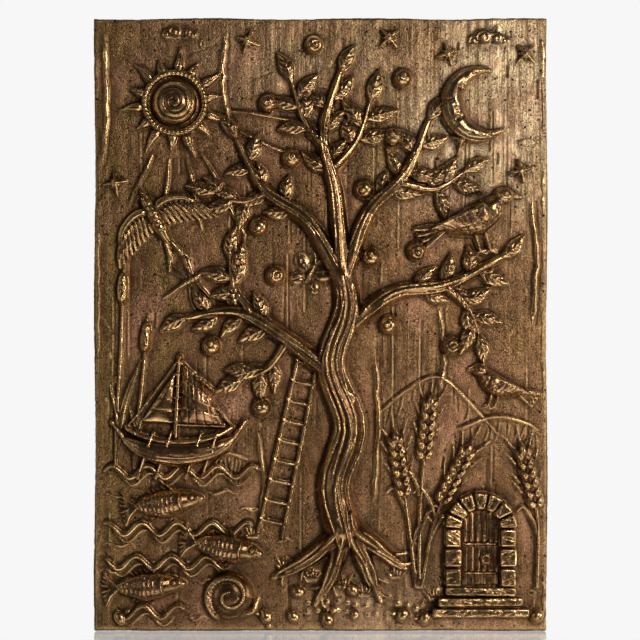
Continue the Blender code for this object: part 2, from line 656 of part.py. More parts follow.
def reeds():
    for i, (u, low, high, lean) in enumerate(REEDS):
        start, end = spot(u, low), spot(u + lean, high)
        ahead = (end - start).normalized()
        bar(f"reed_{i}", start, end, REED_WIDTH, REED_HEIGHT)
        head = [end + ahead * REED_HEAD_LENGTH * (t - 0.3) for t in (0, 0.12, 0.85, 1)]
        width = shares_of(REED_HEAD_WIDTH, 0.4, 1, 1, 0)
        height = shares_of(REED_HEAD_WIDTH, 0.4, 0.9, 0.9, 0.4)
        ridge(f"reed_head_{i}", head, width, height, "soft", 0.2)
        for side in (-1, 1):
            length = (end - start).length * (0.62 if side > 0 else 0.48)
            tip = start + Vector((side * length * (0.24 if side > 0 else 0.08), length))
            blade = smooth_line([start, start.lerp(tip, 0.55) - Vector((side * BLADE_WIDTH, 0)), tip], 4)
            ridge(f"blade_{i}_{side + 1}", blade, shares_of(BLADE_WIDTH, 0.5, 1, 0.8, 0), REED_HEIGHT, "keen")


def corn():
    """Stalks that end in ears of paired grains."""
    pairs = 6
    for i, shares in enumerate(CORN):
        line = path(shares, 7)
        ridge(f"stalk_{i}", line, STALK_WIDTH, STALK_HEIGHT, "keen", 0, (False, False))
        ahead = (line[-1] - line[-2]).normalized()
        for k in range(pairs):
            root = line[-1] - ahead * GRAIN_LENGTH * 0.64 * (pairs - k)
            for side in (-1, 1):
                way = Matrix.Rotation(side * radians(26), 2) @ ahead
                grain(f"grain_{i}_{k}_{side + 1}", root + way * GRAIN_WIDTH * 0.35, way)
        grain(f"grain_{i}_tip", line[-1] - ahead * GRAIN_LENGTH * 0.2, ahead)


def grain(name, start, way):
    line = [start + way * GRAIN_LENGTH * t for t in (0, 0.42, 1)]
    ridge(name, line, [0, GRAIN_WIDTH, 0], shares_of(GRAIN_HEIGHT, 0.6, 1, 0.6), "keen", 0, (True, True))


def gateway():
    """An arch of cut stones on two jambs, with three steps."""
    foot = spot(*GATE)
    courses = max(1, round(JAMB_LENGTH / STONE_LENGTH))
    pitch = JAMB_LENGTH / courses
    reach = (GATE_OPENING + STONE_DEPTH) / 2
    for side in (-1, 1):
        for i in range(courses):
            at = foot + Vector((side * reach, pitch * (i + 0.5)))
            proud = 1.08 if i % 2 else 1.0
            block(f"jamb_{side + 1}_{i}", at, STONE_DEPTH * proud, pitch - STONE_JOINT, STONE_HEIGHT * proud)
    stones = 7
    width = pi * reach / stones - STONE_JOINT
    for i in range(stones):
        angle = pi * (i + 0.5) / stones
        at = foot + Vector((0, JAMB_LENGTH)) + direction(angle) * reach
        block(f"arch_stone_{i}", at, STONE_DEPTH * 1.1, width, STONE_HEIGHT * 1.15, angle)
    for i in range(3):
        at = foot - Vector((0, STEP_DEPTH * (i + 0.5)))
        length = GATE_OPENING + STONE_DEPTH * (2.2 + 0.9 * i)
        block(f"step_{i}", at, length, STEP_DEPTH - STONE_JOINT, STONE_HEIGHT * (0.7 + 0.2 * i))


def pebbles():
    for i, share in enumerate(PEBBLES):
        size = PEBBLE_RADIUS * chance.uniform(0.75, 1.1)
        dome(f"pebble_{i}", spot(*share), size, size, 0.0, 6, 2, chance.uniform(0, pi), 1.25)


def bronze():
    made = bpy.data.materials.new("bronze")
    made.use_nodes = True
    shader = made.node_tree.nodes["Principled BSDF"]
    shader.inputs["Base Color"].default_value = (0.28, 0.16, 0.07, 1)
    shader.inputs["Metallic"].default_value = 1.0
    shader.inputs["Roughness"].default_value = 0.42
    return made


def plaque():
    made = plate()
    seams()
    tree()
    ladder()
    sun()
    moon()
    perched_bird("bird", spot(*BIRD), radians(6), BIRD_LENGTH)
    perched_bird("chick", spot(*CHICK), radians(172), CHICK_LENGTH, True)
    flying_bird("swallow", spot(*SWALLOW), radians(118), SWALLOW_LENGTH)
    water()
    boat()
    reeds()
    corn()
    gateway()
    pebbles()
    dragonfly(spot(*DRAGONFLY), radians(32), DRAGONFLY_LENGTH)
    butterfly(spot(*BUTTERFLY), radians(62), BUTTERFLY_LENGTH)
    clouds()
    hills()
    made.data.materials.append(bronze())
    fuse = made.modifiers.new("fuse", "BOOLEAN")
    fuse.operation = "UNION"
    fuse.operand_type = "COLLECTION"
    fuse.collection = relief
    fuse.solver = "EXACT"
    upright = bpy.data.objects.new("upright", None)
    upright.rotation_euler = (pi / 2, 0, 0)
    bpy.context.scene.collection.objects.link(upright)
    for piece in [made, *relief.objects]:
        piece.parent = upright


for left_over in list(bpy.data.objects):
    bpy.data.objects.remove(left_over)
bpy.context.scene.collection.children.link(relief)
plaque()
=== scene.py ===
import random
from math import atan2, cos, pi, radians, sin, sqrt

import bmesh
import bpy
import numpy as np
from mathutils import Matrix, Vector


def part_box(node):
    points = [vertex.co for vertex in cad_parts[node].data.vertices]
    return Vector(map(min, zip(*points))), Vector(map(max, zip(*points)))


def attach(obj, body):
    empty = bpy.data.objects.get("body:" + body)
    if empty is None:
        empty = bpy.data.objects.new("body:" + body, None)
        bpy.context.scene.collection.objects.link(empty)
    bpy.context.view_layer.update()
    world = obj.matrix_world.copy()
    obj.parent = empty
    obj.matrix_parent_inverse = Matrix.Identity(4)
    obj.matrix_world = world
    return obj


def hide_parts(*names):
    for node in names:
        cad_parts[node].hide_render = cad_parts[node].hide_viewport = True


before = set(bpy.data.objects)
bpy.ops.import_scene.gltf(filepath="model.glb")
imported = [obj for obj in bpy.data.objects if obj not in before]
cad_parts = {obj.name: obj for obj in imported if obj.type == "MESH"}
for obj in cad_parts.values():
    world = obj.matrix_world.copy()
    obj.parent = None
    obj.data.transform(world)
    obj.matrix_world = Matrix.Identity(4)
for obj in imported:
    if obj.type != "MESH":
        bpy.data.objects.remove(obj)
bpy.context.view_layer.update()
print("frame loaded")

# A bronze relief plaque. It is modelled lying on its back, with x to the right, y to its top and z out
# of its front, and is stood upright when it is done. Every form is a closed body pressed into the plate.
# The forms of one group are melted into one skin, tooled and patinated, and each group is sunk into the
# cast plate. Places on the front are shares of its half width and half height, and a figure's points are
# shares of its length.

plateLow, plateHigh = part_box("relief_plaque")
plateSpec = {
    "width": plateHigh.x - plateLow.x,
    "height": plateHigh.z - plateLow.z,
    "thickness": 0.009,
    "tallest": plateHigh.y - plateLow.y,
    "edgeWave": 0.0010,
    "edgeSteps": 60,
    "edgeBand": 0.0016,
    "edgeDrop": 0.0007,
    "rim": 0.992,
}
fullTurn = 2 * pi
chance = random.Random(5)
casting = bmesh.new()    # the forms of the group that is being made
fourths = (0, 0.25, 0.5, 0.75, 1)
fifths = (0, 0.2, 0.4, 0.6, 0.8, 1)


# Lines and places

def spot(u, v):
    return Vector((u * plateSpec["width"] / 2, v * plateSpec["height"] / 2))


def direction(angle):
    return Vector((cos(angle), sin(angle)))


def smoothLine(points, count):
    # count points along a smooth curve through these
    padded = [2 * points[0] - points[1], *points, 2 * points[-1] - points[-2]]
    line = []
    for i in range(count):
        place = i / (count - 1) * (len(points) - 1)
        k = min(int(place), len(points) - 2)
        t = place - k
        a, b, c, d = padded[k : k + 4]
        bend = (c - a) * t + (2 * a - 5 * b + 4 * c - d) * t**2 + (3 * b - a - 3 * c + d) * t**3
        line.append(b + bend / 2)
    return line


def path(shares, count):
    return smoothLine([spot(*share) for share in shares], count)


def along(start, way, shares):
    return [start + way * share for share in shares]


def figure(spec):
    # a reader of points given as shares of a figure's length, mirrored on its second side; and the length
    # and the heading of that figure
    at, heading, size = spot(*spec["at"]), radians(spec["heading"]), spec["length"]

    def spots(*points, side=spec.get("mirrored", False)):
        flip = Vector((1, -1 if side else 1))
        return [at + Matrix.Rotation(heading, 2) @ (Vector(point) * flip) * size for point in points]

    return spots, size, heading


def times(size, values):
    return [value * size for value in values] if isinstance(values, (list, tuple)) else values * size


def valueAt(values, t):
    # a list of values read smoothly from 0 to 1, or the one value that is given
    if not isinstance(values, (list, tuple)):
        return values
    place = max(0.0, min(1.0, t)) * (len(values) - 1)
    k = min(int(place), len(values) - 2)
    blend = place - k
    blend = blend * blend * (3 - 2 * blend) * 0.5 + blend * 0.5
    return values[k] + (values[k + 1] - values[k]) * blend


def shifted(line, across, start=0.0, end=1.0):
    # the line moved sideways by a distance or a list of them, from one share of its length to another
    first, last = int(start * (len(line) - 1)), int(round(end * (len(line) - 1)))
    moved = []
    for i in range(first, last + 1):
        ahead = (line[min(i + 1, len(line) - 1)] - line[max(i - 1, 0)]).normalized()
        moved.append(line[i] + Vector((-ahead.y, ahead.x)) * valueAt(across, i / (len(line) - 1)))
    return moved


# Bodies that the forms are made of

bodySpec = {
    "root": 0.0026,      # how far a form goes into the plate
    "stop": 0.0008,      # the least that a section closes to
    "endAngles": (20, 40, 62),
    "endHeight": 0.35,
    "bevel": 0.0011,
    "taper": 0.04,
}


def press(bm):
    # lays a closed body into the casting
    bmesh.ops.recalc_face_normals(bm, faces=bm.faces)
    if bm.calc_volume(signed=True) < 0:
        bmesh.ops.reverse_faces(bm, faces=bm.faces)
    made = bpy.data.meshes.new("form")
    bm.to_mesh(made)
    bm.free()
    casting.from_mesh(made)
    bpy.data.meshes.remove(made)


def onlyVerts(items):
    return [item for item in items if isinstance(item, bmesh.types.BMVert)]


def setDown(bm, at, lift, turn=0.0):
    bmesh.ops.rotate(bm, cent=(0, 0, 0), matrix=Matrix.Rotation(turn, 3, "Z"), verts=bm.verts)
    bmesh.ops.translate(bm, vec=(at.x, at.y, plateSpec["thickness"] + lift), verts=bm.verts)
    press(bm)


def roll(line, width, height, lift=0.5, sides=8, blunt=(True, True), size=1):
    # a roll of wax laid along a line, rounded off at blunt ends; its root is buried in the plate
    # size scales its widths and heights, or each of the two where it is a pair
    across, up = size if isinstance(size, tuple) else (size, size)
    width, height = times(across, width), times(up, height)
    lengths = [0.0]
    for a, b in zip(line, line[1:]):
        lengths.append(lengths[-1] + (b - a).length)
    total = lengths[-1]
    marks = [length / total for length in lengths]
    reach = [min(0.4, valueAt(width, end) / 2 / total) for end in (0, 1)]
    for angle in bodySpec["endAngles"]:
        if blunt[0]:
            marks.append(reach[0] * (1 - cos(radians(angle))))
        if blunt[1]:
            marks.append(1 - reach[1] * (1 - cos(radians(angle))))
    bm = bmesh.new()
    column = bm.verts.layers.int.new("column")
    ring = bmesh.ops.create_circle(bm, segments=sides, radius=1)["verts"]
    for k, vert in enumerate(ring):
        vert[column] = k
    edges = list(bm.edges)
    for i, t in enumerate(sorted(marks)):
        k = max(j for j in range(len(line) - 1) if lengths[j] / total <= t + 1e-9)
        point = line[k].lerp(line[k + 1], (t * total - lengths[k]) / max(1e-9, lengths[k + 1] - lengths[k]))
        ahead = (line[min(k + 2, len(line) - 1)] - line[max(k - 1, 0)]).normalized()
        shrink = 1.0
        if blunt[0] and t < reach[0]:
            shrink = sqrt(max(0.0, 1 - (1 - t / reach[0]) ** 2))
        if blunt[1] and t > 1 - reach[1]:
            shrink = sqrt(max(0.0, 1 - (1 - (1 - t) / reach[1]) ** 2))
        half = max(bodySpec["stop"] / 2, valueAt(width, t) / 2 * shrink)
        ending = bodySpec["endHeight"] + (1 - bodySpec["endHeight"]) * shrink
        tall = max(bodySpec["stop"], valueAt(height, t) * ending)
        if i:
            made = bmesh.ops.extrude_edge_only(bm, edges=edges)["geom"]
            ring = onlyVerts(made)
            inRing = set(ring)
            edges = [item for item in made if isinstance(item, bmesh.types.BMEdge)]
            edges = [edge for edge in edges if edge.verts[0] in inRing and edge.verts[1] in inRing]
        for vert in ring:
            angle = fullTurn * vert[column] / sides
            side, rise = cos(angle), sin(angle)
            above, below = tall * (1 - lift), tall * lift + bodySpec["root"]
            z = tall * lift + (above if rise > 0 else below) * rise
            where = point + Vector((-ahead.y, ahead.x)) * side * half
            vert.co = (where.x, where.y, plateSpec["thickness"] + z)
        if i in (0, len(marks) - 1):
            bmesh.ops.contextual_create(bm, geom=edges)
    press(bm)


def boss(at, radius, height, floor=0.0, stretch=1.0, turn=0.0, detail=3):
    # a rounded lump on the ground, or on something that stands up to its floor
    bm = bmesh.new()
    bmesh.ops.create_icosphere(bm, subdivisions=detail, radius=1)
    for vert in bm.verts:
        vert.co.z *= height if vert.co.z > 0 else bodySpec["root"] + floor
    bmesh.ops.scale(bm, vec=(radius * stretch, radius, 1), verts=bm.verts)
    setDown(bm, at, floor, turn)


def hoop(at, radius, width, height, floor=0.0, count=36):
    # a round bar bent into a closed ring
    bm = bmesh.new()
    bmesh.ops.create_circle(bm, segments=10, radius=1)
    for vert in bm.verts:
        x, y = vert.co.x, vert.co.y
        z = height / 2 + (height / 2 * y if y > 0 else (height / 2 + floor + bodySpec["root"]) * y)
        vert.co = (at.x + radius + x * width / 2, at.y, plateSpec["thickness"] + floor + z)
    loop = list(bm.verts) + list(bm.edges)
    middle, axis = (at.x, at.y, 0), (0, 0, 1)
    bmesh.ops.spin(bm, geom=loop, cent=middle, axis=axis, angle=fullTurn, steps=count, use_merge=True)
    bmesh.ops.remove_doubles(bm, verts=bm.verts, dist=0.00001)
    press(bm)


def block(at, length, width, height, turn=0.0, tilt=0.0, wedge=0.0):
    # a squared stone with worn edges, a little narrower above, and wider at its far end by the wedge
    bm = bmesh.new()
    bmesh.ops.create_cube(bm, size=1)
    root, narrower = -bodySpec["root"], 1 - bodySpec["taper"]
    bmesh.ops.scale(bm, vec=(length, width, height - root), verts=bm.verts)
    bmesh.ops.translate(bm, vec=(0, 0, (height + root) / 2), verts=bm.verts)
    for vert in bm.verts:
        vert.co.y *= 1 + wedge * vert.co.x / length
        if vert.co.z > 0:
            vert.co.x *= narrower
            vert.co.y *= narrower
            vert.co.z += vert.co.x * tilt
    edges, worn = list(bm.edges), bodySpec["bevel"]
    bmesh.ops.bevel(bm, geom=edges, offset=worn, segments=2, affect="EDGES", profile=0.5, material=-1)
    setDown(bm, at, 0, turn)


def cloth(corners, height, belly):
    # a four-cornered sheet that swells out of the ground towards its middle
    bm = bmesh.new()
    bmesh.ops.create_grid(bm, x_segments=12, y_segments=12, size=1)
    a, b, c, d = corners
    for vert in bm.verts:
        u, v = vert.co.x * 0.5 + 0.5, vert.co.y * 0.5 + 0.5
        reach = u * (1 - 0.10 * sin(pi * v) * (1 - u))
        where = a.lerp(b, reach).lerp(d.lerp(c, reach), v)
        swell = (sin(pi * u) * sin(pi * v)) ** 0.7
        vert.co = (where.x, where.y, plateSpec["thickness"] + height + belly * swell)
    made = bmesh.ops.extrude_face_region(bm, geom=list(bm.faces), use_keep_orig=True)["geom"]
    for vert in onlyVerts(made):
        vert.co.z = plateSpec["thickness"] - bodySpec["root"]
    press(bm)


# Tool marks, kept as a height field over the front and laid on the skin later

markSpec = {
    "cell": 0.00035,
    "margin": 0.004,
    "spread": 2.5,       # how many widths from its line a mark is still worked out
}
cell = markSpec["cell"]


def cellPlaces(size):
    # where the cells lie along a side of this size
    count = int((size + 2 * markSpec["margin"]) / cell)
    return (np.arange(count) + 0.5) * cell - size / 2 - markSpec["margin"]


cellX, cellY = cellPlaces(plateSpec["width"]), cellPlaces(plateSpec["height"])
columns, rows = len(cellX), len(cellY)
shareX = cellX[None, :] / plateSpec["width"] * 2
shareY = cellY[:, None] / plateSpec["height"] * 2
groundMarks = np.zeros((rows, columns), np.float32)
formMarks = np.zeros((rows, columns), np.float32)


def window(low, high):
    # the cells between two corners, as slices
    slices = []
    for k, (cells, count) in enumerate(((cellX, columns), (cellY, rows))):
        first, last = int((low[k] - cells[0]) / cell), int((high[k] - cells[0]) / cell) + 2
        slices.append(slice(max(0, min(first, count)), max(0, min(last, count))))
    return slices


def cut(field, line, width, depth):
    # a groove along a line, or a rib where the depth is below nothing
    points = [(point[0], point[1]) for point in line]
    low = [min(point[k] for point in points) - markSpec["spread"] * width for k in (0, 1)]
    high = [max(point[k] for point in points) + markSpec["spread"] * width for k in (0, 1)]
    xs, ys = window(low, high)
    if xs.stop <= xs.start or ys.stop <= ys.start:
        return
    x, y = cellX[xs][None, :], cellY[ys][:, None]
    nearest = np.full((ys.stop - ys.start, xs.stop - xs.start), 1.0)
    for (ax, ay), (bx, by) in zip(points, points[1:]):
        dx, dy = bx - ax, by - ay
        t = np.clip(((x - ax) * dx + (y - ay) * dy) / max(1e-12, dx * dx + dy * dy), 0, 1)
        nearest = np.minimum(nearest, (x - ax - t * dx) ** 2 + (y - ay - t * dy) ** 2)
    field[ys, xs] -= depth * np.exp(-nearest / (width * width))


def engrave(line, tool):
    # a cut into the forms, by the width and depth of its tool
    cut(formMarks, line, *tool)


def score(line, tool):
    # a cut into the open ground
    cut(groundMarks, line, *tool)


def arc(middle, radius, size, heading, angles):
    return [middle + direction(heading + angle) * radius * size for angle in angles]


def dent(field, at, radius, depth, stretch=1.0, turn=0.0):
    reach = markSpec["spread"] * radius * stretch
    xs, ys = window([at[0] - reach, at[1] - reach], [at[0] + reach, at[1] + reach])
    if xs.stop <= xs.start or ys.stop <= ys.start:
        return
    x, y = cellX[xs][None, :] - at[0], cellY[ys][:, None] - at[1]
    u = (x * cos(turn) + y * sin(turn)) / (radius * stretch)
    v = (y * cos(turn) - x * sin(turn)) / radius
    field[ys, xs] -= depth * np.exp(-(u * u + v * v))


def blurred(field, acrossX, acrossY):
    # a soft copy of a field, by its two radii in metres
    fx = np.fft.rfftfreq(field.shape[1], cell)[None, :]
    fy = np.fft.fftfreq(field.shape[0], cell)[:, None]
    keep = np.exp(-2 * pi**2 * ((fx * acrossX) ** 2 + (fy * acrossY) ** 2))
    return np.fft.irfft2(np.fft.rfft2(field) * keep, s=field.shape)


def grain(seed, acrossX, acrossY):
    # random lumps or streaks of this size, spread about nothing by about one
    made = blurred(np.random.default_rng(seed).standard_normal((rows, columns)), acrossX, acrossY)
    return (made - made.mean()) / made.std()


# Tree

treeSpec = {
    "trunkWidth": [0.0260, 0.0225, 0.0200, 0.0185, 0.0170],
    "trunkHeight": [0.0158, 0.0150, 0.0136, 0.0120, 0.0105],
    "trunkBark": ([-0.78, -0.50, -0.22, 0.06, 0.34, 0.60, 0.82], 0.0036),      # lanes and thickness
    "rootWidth": [0.0170, 0.0120, 0.0040],
    "rootHeight": [0.0105, 0.0075, 0.0026],
    "rootBark": ([-0.6, -0.1, 0.45], 0.0030),
    "footStarts": [(0.065, -0.600), (0.088, -0.570), (0.110, -0.580), (0.130, -0.600)],
    "footTurns": [(0.070, -0.670), (0.095, -0.690), (0.130, -0.690), (0.150, -0.665)],
    "footWidth": [0.0026, 0.0056, 0.0030],
    "footHeight": [0.0158, 0.0150, 0.0104],
    "rootlets": [(5, 1), (6, -1), (8, 1)],
    "rootletLength": 0.015,
    "rootletWidth": [0.0040, 0.0028, 0.0016],
    "rootletHeight": [0.0042, 0.0032, 0.0014],
    "branchWidth": [0.0130, 0.0098, 0.0046],
    "branchHeight": [0.0105, 0.0088, 0.0052],
    "branchBark": ([-0.55, 0.0, 0.5], 0.0026),
    "twigWidth": [0.0066, 0.0048, 0.0026],
    "twigHeight": [0.0084, 0.0054, 0.0030],
    "knotRadius": 0.0042,
    "leafLength": 0.0230,
    "leafWidth": 0.0102,
    "leafHeight": 0.0054,
    "leafAngle": radians(48),
    "leafOutline": [0.16, 0.62, 1.0, 0.92, 0.52, 0.08],
    "leafRise": [0.55, 0.85, 1.0, 0.95, 0.8, 0.55],
    "midrib": [0.16, 0.15, 0.14, 0.12, 0.1, 0.08],
    "vein": (0.00055, 0.00060),
    "fruitRadius": 0.0066,
    "fruitHeight": 0.0090,
    "fruitCrown": (0.0004, 0.0005),
}
trunkPath = [(0.12, -0.72), (0.06, -0.52), (0.13, -0.33), (0.05, -0.13), (0.12, 0.05), (0.09, 0.20)]
rootPaths = [
    [(0.12, -0.66), (-0.05, -0.76), (-0.22, -0.83)],
    [(0.12, -0.66), (0.05, -0.81), (-0.03, -0.92)],
    [(0.12, -0.66), (0.21, -0.80), (0.27, -0.91)],
    [(0.12, -0.66), (0.28, -0.74), (0.38, -0.80)],
]
branchPaths = [
    [(0.06, -0.17), (-0.14, -0.05), (-0.36, 0.04), (-0.60, 0.02)],
    [(0.10, -0.02), (0.32, 0.10), (0.56, 0.13), (0.80, 0.22)],
    [(0.10, 0.14), (-0.05, 0.33), (-0.25, 0.44), (-0.37, 0.61)],
    [(0.10, 0.14), (0.21, 0.36), (0.37, 0.49), (0.48, 0.67)],
    [(0.10, 0.14), (0.07, 0.42), (0.01, 0.62), (0.09, 0.83)],
]
twigPaths = [
    [(-0.30, 0.03), (-0.38, 0.12), (-0.40, 0.22)],
    [(0.54, 0.13), (0.64, 0.06), (0.70, -0.04)],
    [(-0.14, -0.05), (-0.23, -0.14), (-0.35, -0.18)],
    [(-0.22, 0.43), (-0.35, 0.40), (-0.48, 0.43)],
    [(0.05, 0.50), (0.16, 0.60), (0.22, 0.73)],
    [(0.04, 0.56), (-0.07, 0.66), (-0.13, 0.80)],
    [(0.34, 0.46), (0.50, 0.44), (0.64, 0.50)],
]
fruitSpots = [
    (-0.20, 0.16), (-0.48, -0.07), (0.30, 0.00), (0.42, 0.24), (-0.13, 0.54), (0.32, 0.61), (0.19, 0.44),
    (-0.03, 0.91), (0.36, 0.80), (-0.26, -0.27), (-0.27, 0.32), (0.57, -0.07), (0.22, 0.22), (-0.23, 0.72),
]
knotSpots = [(0.075, -0.46), (0.115, -0.24), (0.075, -0.03)]


def barkOver(line, width, height, bark, seed):
    # strands of bark that wander along a limb and stand a little above it
    draw = random.Random(seed)
    lanes, thick = bark
    for lane in lanes:
        start, end = draw.uniform(0, 0.25), draw.uniform(0.75, 1.0)
        wander = draw.uniform(0, fullTurn)
        first, last = int(start * (len(line) - 1)), int(end * (len(line) - 1))
        strand, tall = [], []
        for i in range(first, last + 1):
            t = i / (len(line) - 1)
            off = max(-0.9, min(0.9, lane + 0.13 * sin(6 * t + wander) + 0.05 * sin(17 * t + 2 * wander)))
            strand.append(shifted(line, valueAt(width, t) / 2 * off)[i])
            tall.append(valueAt(height, t) * sqrt(1 - (0.86 * off) ** 2) + thick * 0.30)
        if len(strand) > 3:
            roll(strand, times(thick, (0.5, 1, 0.9, 0.4)), tall, 0.6)


def limb(line, name, lift, sides, blunt, seed):
    width, height = treeSpec[name + "Width"], treeSpec[name + "Height"]
    roll(line, width, height, lift, sides, blunt)
    barkOver(line, width, height, treeSpec[name + "Bark"], seed)


def leafAt(start, heading, length):
    # a pointed leaf with a raised midrib, its far half lifted off the ground
    spec = treeSpec
    bend = chance.uniform(-0.35, 0.35)
    width = spec["leafWidth"] * chance.uniform(0.9, 1.1)
    line = [start + direction(heading + bend * t) * length * t for t in fifths]
    tall = times(spec["leafHeight"], spec["leafRise"])
    roll(line, times(width, spec["leafOutline"]), tall, 0.52, 12, (False, False))
    roll(line, times(width, spec["midrib"]), [value + 0.0006 for value in tall], 0.6, 6)
    for share in (0.20, 0.42, 0.64):
        root = start + direction(heading + bend * share) * length * share
        for side in (-1, 1):
            way = direction(heading + bend * share + side * radians(36))
            engrave([root + way * width * 0.12, root + way * width * 0.62], spec["vein"])


def leavesAlong(line):
    # a pair of leaves at each point of the line after its first, and one leaf at its tip
    for i in range(1, len(line)):
        ahead = (line[i] - line[i - 1]).normalized()
        for side in (-1, 1) if i < len(line) - 1 else (0,):
            start = line[i] - ahead * treeSpec["leafWidth"] * (0.25 + 0.3 * side)
            length = treeSpec["leafLength"] * chance.uniform(0.86, 1.08)
            leafAt(start, atan2(ahead.y, ahead.x) + side * treeSpec["leafAngle"], length)


def fruitAt(at, seed):
    radius, height = treeSpec["fruitRadius"], treeSpec["fruitHeight"]
    boss(at, radius, height * 0.78, height * 0.2)
    crown = at + direction(seed * 1.7) * radius * 0.30
    boss(crown, radius * 0.24, height * 0.10, height * 0.93, detail=2)
    engrave(arc(crown, radius, 0.42, 0, (0, 1.05, 2.1, 3.14, 4.2, 5.24, 6.28)), treeSpec["fruitCrown"])


def rootlets(line):
    spec = treeSpec
    for k, (i, side) in enumerate(spec["rootlets"]):
        root = line[i]
        ahead = (line[i] - line[i - 1]).normalized()
        way = Matrix.Rotation(side * radians(34 + 8 * k), 2) @ ahead
        tip = root + way * spec["rootletLength"] * (1.1 - 0.2 * k)
        bent = smoothLine([root, root.lerp(tip, 0.5) + ahead * 0.002, tip], 6)
        roll(bent, spec["rootletWidth"], spec["rootletHeight"], 0.35)


def tree():
    spec = treeSpec
    limb(path(trunkPath, 22), "trunk", 0.15, 18, (True, False), 3)
    for i, share in enumerate(knotSpots):
        at, lower = spot(*share), 0.0014 * i
        hoop(at, spec["knotRadius"], 0.0026, 0.0022, 0.0118 - lower, 18)
        boss(at, 0.0022, 0.0016, 0.0112 - lower, detail=2)
    for i, shares in enumerate(rootPaths):
        line = path(shares, 11)
        limb(line, "root", 0.15, 14, (False, True), 20 + i)
        joint = smoothLine([spot(*spec["footStarts"][i]), spot(*spec["footTurns"][i]), line[4]], 10)
        roll(joint, spec["footWidth"], spec["footHeight"], 0.6)
        rootlets(line)
    for i, shares in enumerate(branchPaths):
        limb(path(shares, 19), "branch", 0.28, 14, (False, True), 40 + i)
        leavesAlong(path(shares, 7)[2:])
    for shares in twigPaths:
        roll(path(shares, 10), spec["twigWidth"], spec["twigHeight"], 0.4, 10)
        leavesAlong(path(shares, 5)[1:])
    for i, share in enumerate(fruitSpots):
        fruitAt(spot(*share), i)


# Ladder

ladderSpec = {
    "foot": (-0.22, -0.68),
    "head": (-0.05, -0.10),
    "width": 0.0170,
    "rail": 0.0030,
    "rung": 0.0026,
    "height": 0.0042,
    "rungs": 9,
    "cord": 0.0014,
    "cordReach": 0.0023,
}


def ladder():
    spec = ladderSpec
    foot, head = spot(*spec["foot"]), spot(*spec["head"])
    ahead = (head - foot).normalized()
    across = Vector((-ahead.y, ahead.x)) * spec["width"] / 2
    for side in (-1, 1):
        low, high = foot + side * across, head + side * across * 0.8
        roll([low - ahead * 0.002, low.lerp(high, 0.5), high], spec["rail"], spec["height"], 0.5, 10)
    for i in range(spec["rungs"]):
        middle = foot.lerp(head, (i + 0.6) / spec["rungs"])
        reach = across * (1.16 - 0.2 * i / spec["rungs"])
        roll([middle - reach, middle, middle + reach], spec["rung"], spec["height"] * 0.86)
        for side in (-1, 1):    # the cord that ties each end
            tie = middle + side * reach * 0.86
            skew = (ahead + side * across.normalized() * 0.8).normalized() * spec["cordReach"]
            roll([tie - skew, tie + skew], spec["cord"], spec["height"] + 0.0009, 0.6, 6)


# Sun, moon and stars

skySpec = {
    "sun": (-0.64, 0.72),
    "sunRadius": 0.0205,
    "sunHeight": 0.0130,
    "rimWidth": 0.0046,
    "rimHeight": 0.0054,
    "rimNicks": 44,
    "nick": (0.0004, 0.0005),
    "spiral": (0.00050, 0.00085),
    "rayLength": 0.0190,
    "rayWidth": 0.0068,
    "rayHeight": 0.0052,
    "rays": 14,
    "rayOutline": (0.7, 1, 0.72, 0.3, 0.1),
    "rayRise": (0.85, 1, 0.85, 0.6, 0.4),
    "rayGroove": (0.00045, 0.0006),
    "beams": [(-8, 0.058), (-24, 0.046), (-62, 0.066), (-78, 0.052), (-96, 0.060), (-114, 0.040)],
    "beamWidth": [0.0012, 0.0028, 0.0026, 0.0022, 0.0012],
    "beamHeight": [0.0014, 0.0030, 0.0028, 0.0024, 0.0010],
    "beamGroove": (0.0005, 0.0006),
    "moon": (0.72, 0.72),
    "moonRadius": 0.0220,
    "moonWidth": 0.0160,
    "moonHeight": 0.0110,
    "moonStart": radians(75),
    "moonSweep": radians(235),
    "moonSteps": 24,
    "lipWidth": 0.0022,
    "lipHeight": [0.0030, 0.0064, 0.0072, 0.0064, 0.0030],
    "hammerMarks": 26,
    "stars": [
        (0.56, 0.88), (0.90, 0.88), (0.62, 0.60), (0.88, 0.50), (0.30, 0.93), (-0.32, 0.92), (-0.90, 0.46),
    ],
    "starRadius": 0.0080,
    "starHeight": 0.0044,
    "starArmWidth": [0.0028, 0.0024, 0.0011],
    "starArmHeight": [0.0056, 0.0044, 0.0022],
}


def sun():
    spec = skySpec
    at, radius = spot(*spec["sun"]), spec["sunRadius"]
    boss(at, radius * 0.74, spec["sunHeight"] * 0.8, spec["sunHeight"] * 0.18, detail=4)
    hoop(at, radius, spec["rimWidth"], spec["rimHeight"], 0, 48)
    for i in range(spec["rays"]):
        way = direction(fullTurn * (i + 0.3) / spec["rays"])
        length = spec["rayLength"] * (1.0 if i % 2 else 0.62)
        line = [at + way * (radius + length * t) for t in fourths]
        line = shifted(line, [0, 0.0008 * (-1) ** i, 0])
        roll(line, spec["rayOutline"], spec["rayRise"], 0.4, 10, size=(spec["rayWidth"], spec["rayHeight"]))
        engrave(line[1:4], spec["rayGroove"])
    spiral = []
    for i in range(60):
        share = i / 59
        spiral.append(at + direction(share * 3.1 * fullTurn + 0.6) * radius * (0.06 + 0.60 * share))
    engrave(spiral, spec["spiral"])
    for i in range(spec["rimNicks"]):
        way = direction(fullTurn * i / spec["rimNicks"])
        engrave([at + way * radius * 0.93, at + way * radius * 1.08], spec["nick"])
    for angle, length in spec["beams"]:
        way = direction(radians(angle))
        line = along(at + way * (radius + spec["rayLength"] * 0.9), way * length, fourths)
        line = shifted(line, [0, 0.0007, 0, -0.0006, 0])
        roll(line, spec["beamWidth"], spec["beamHeight"], 0.35)
        score(shifted(line, 0.0019), spec["beamGroove"])


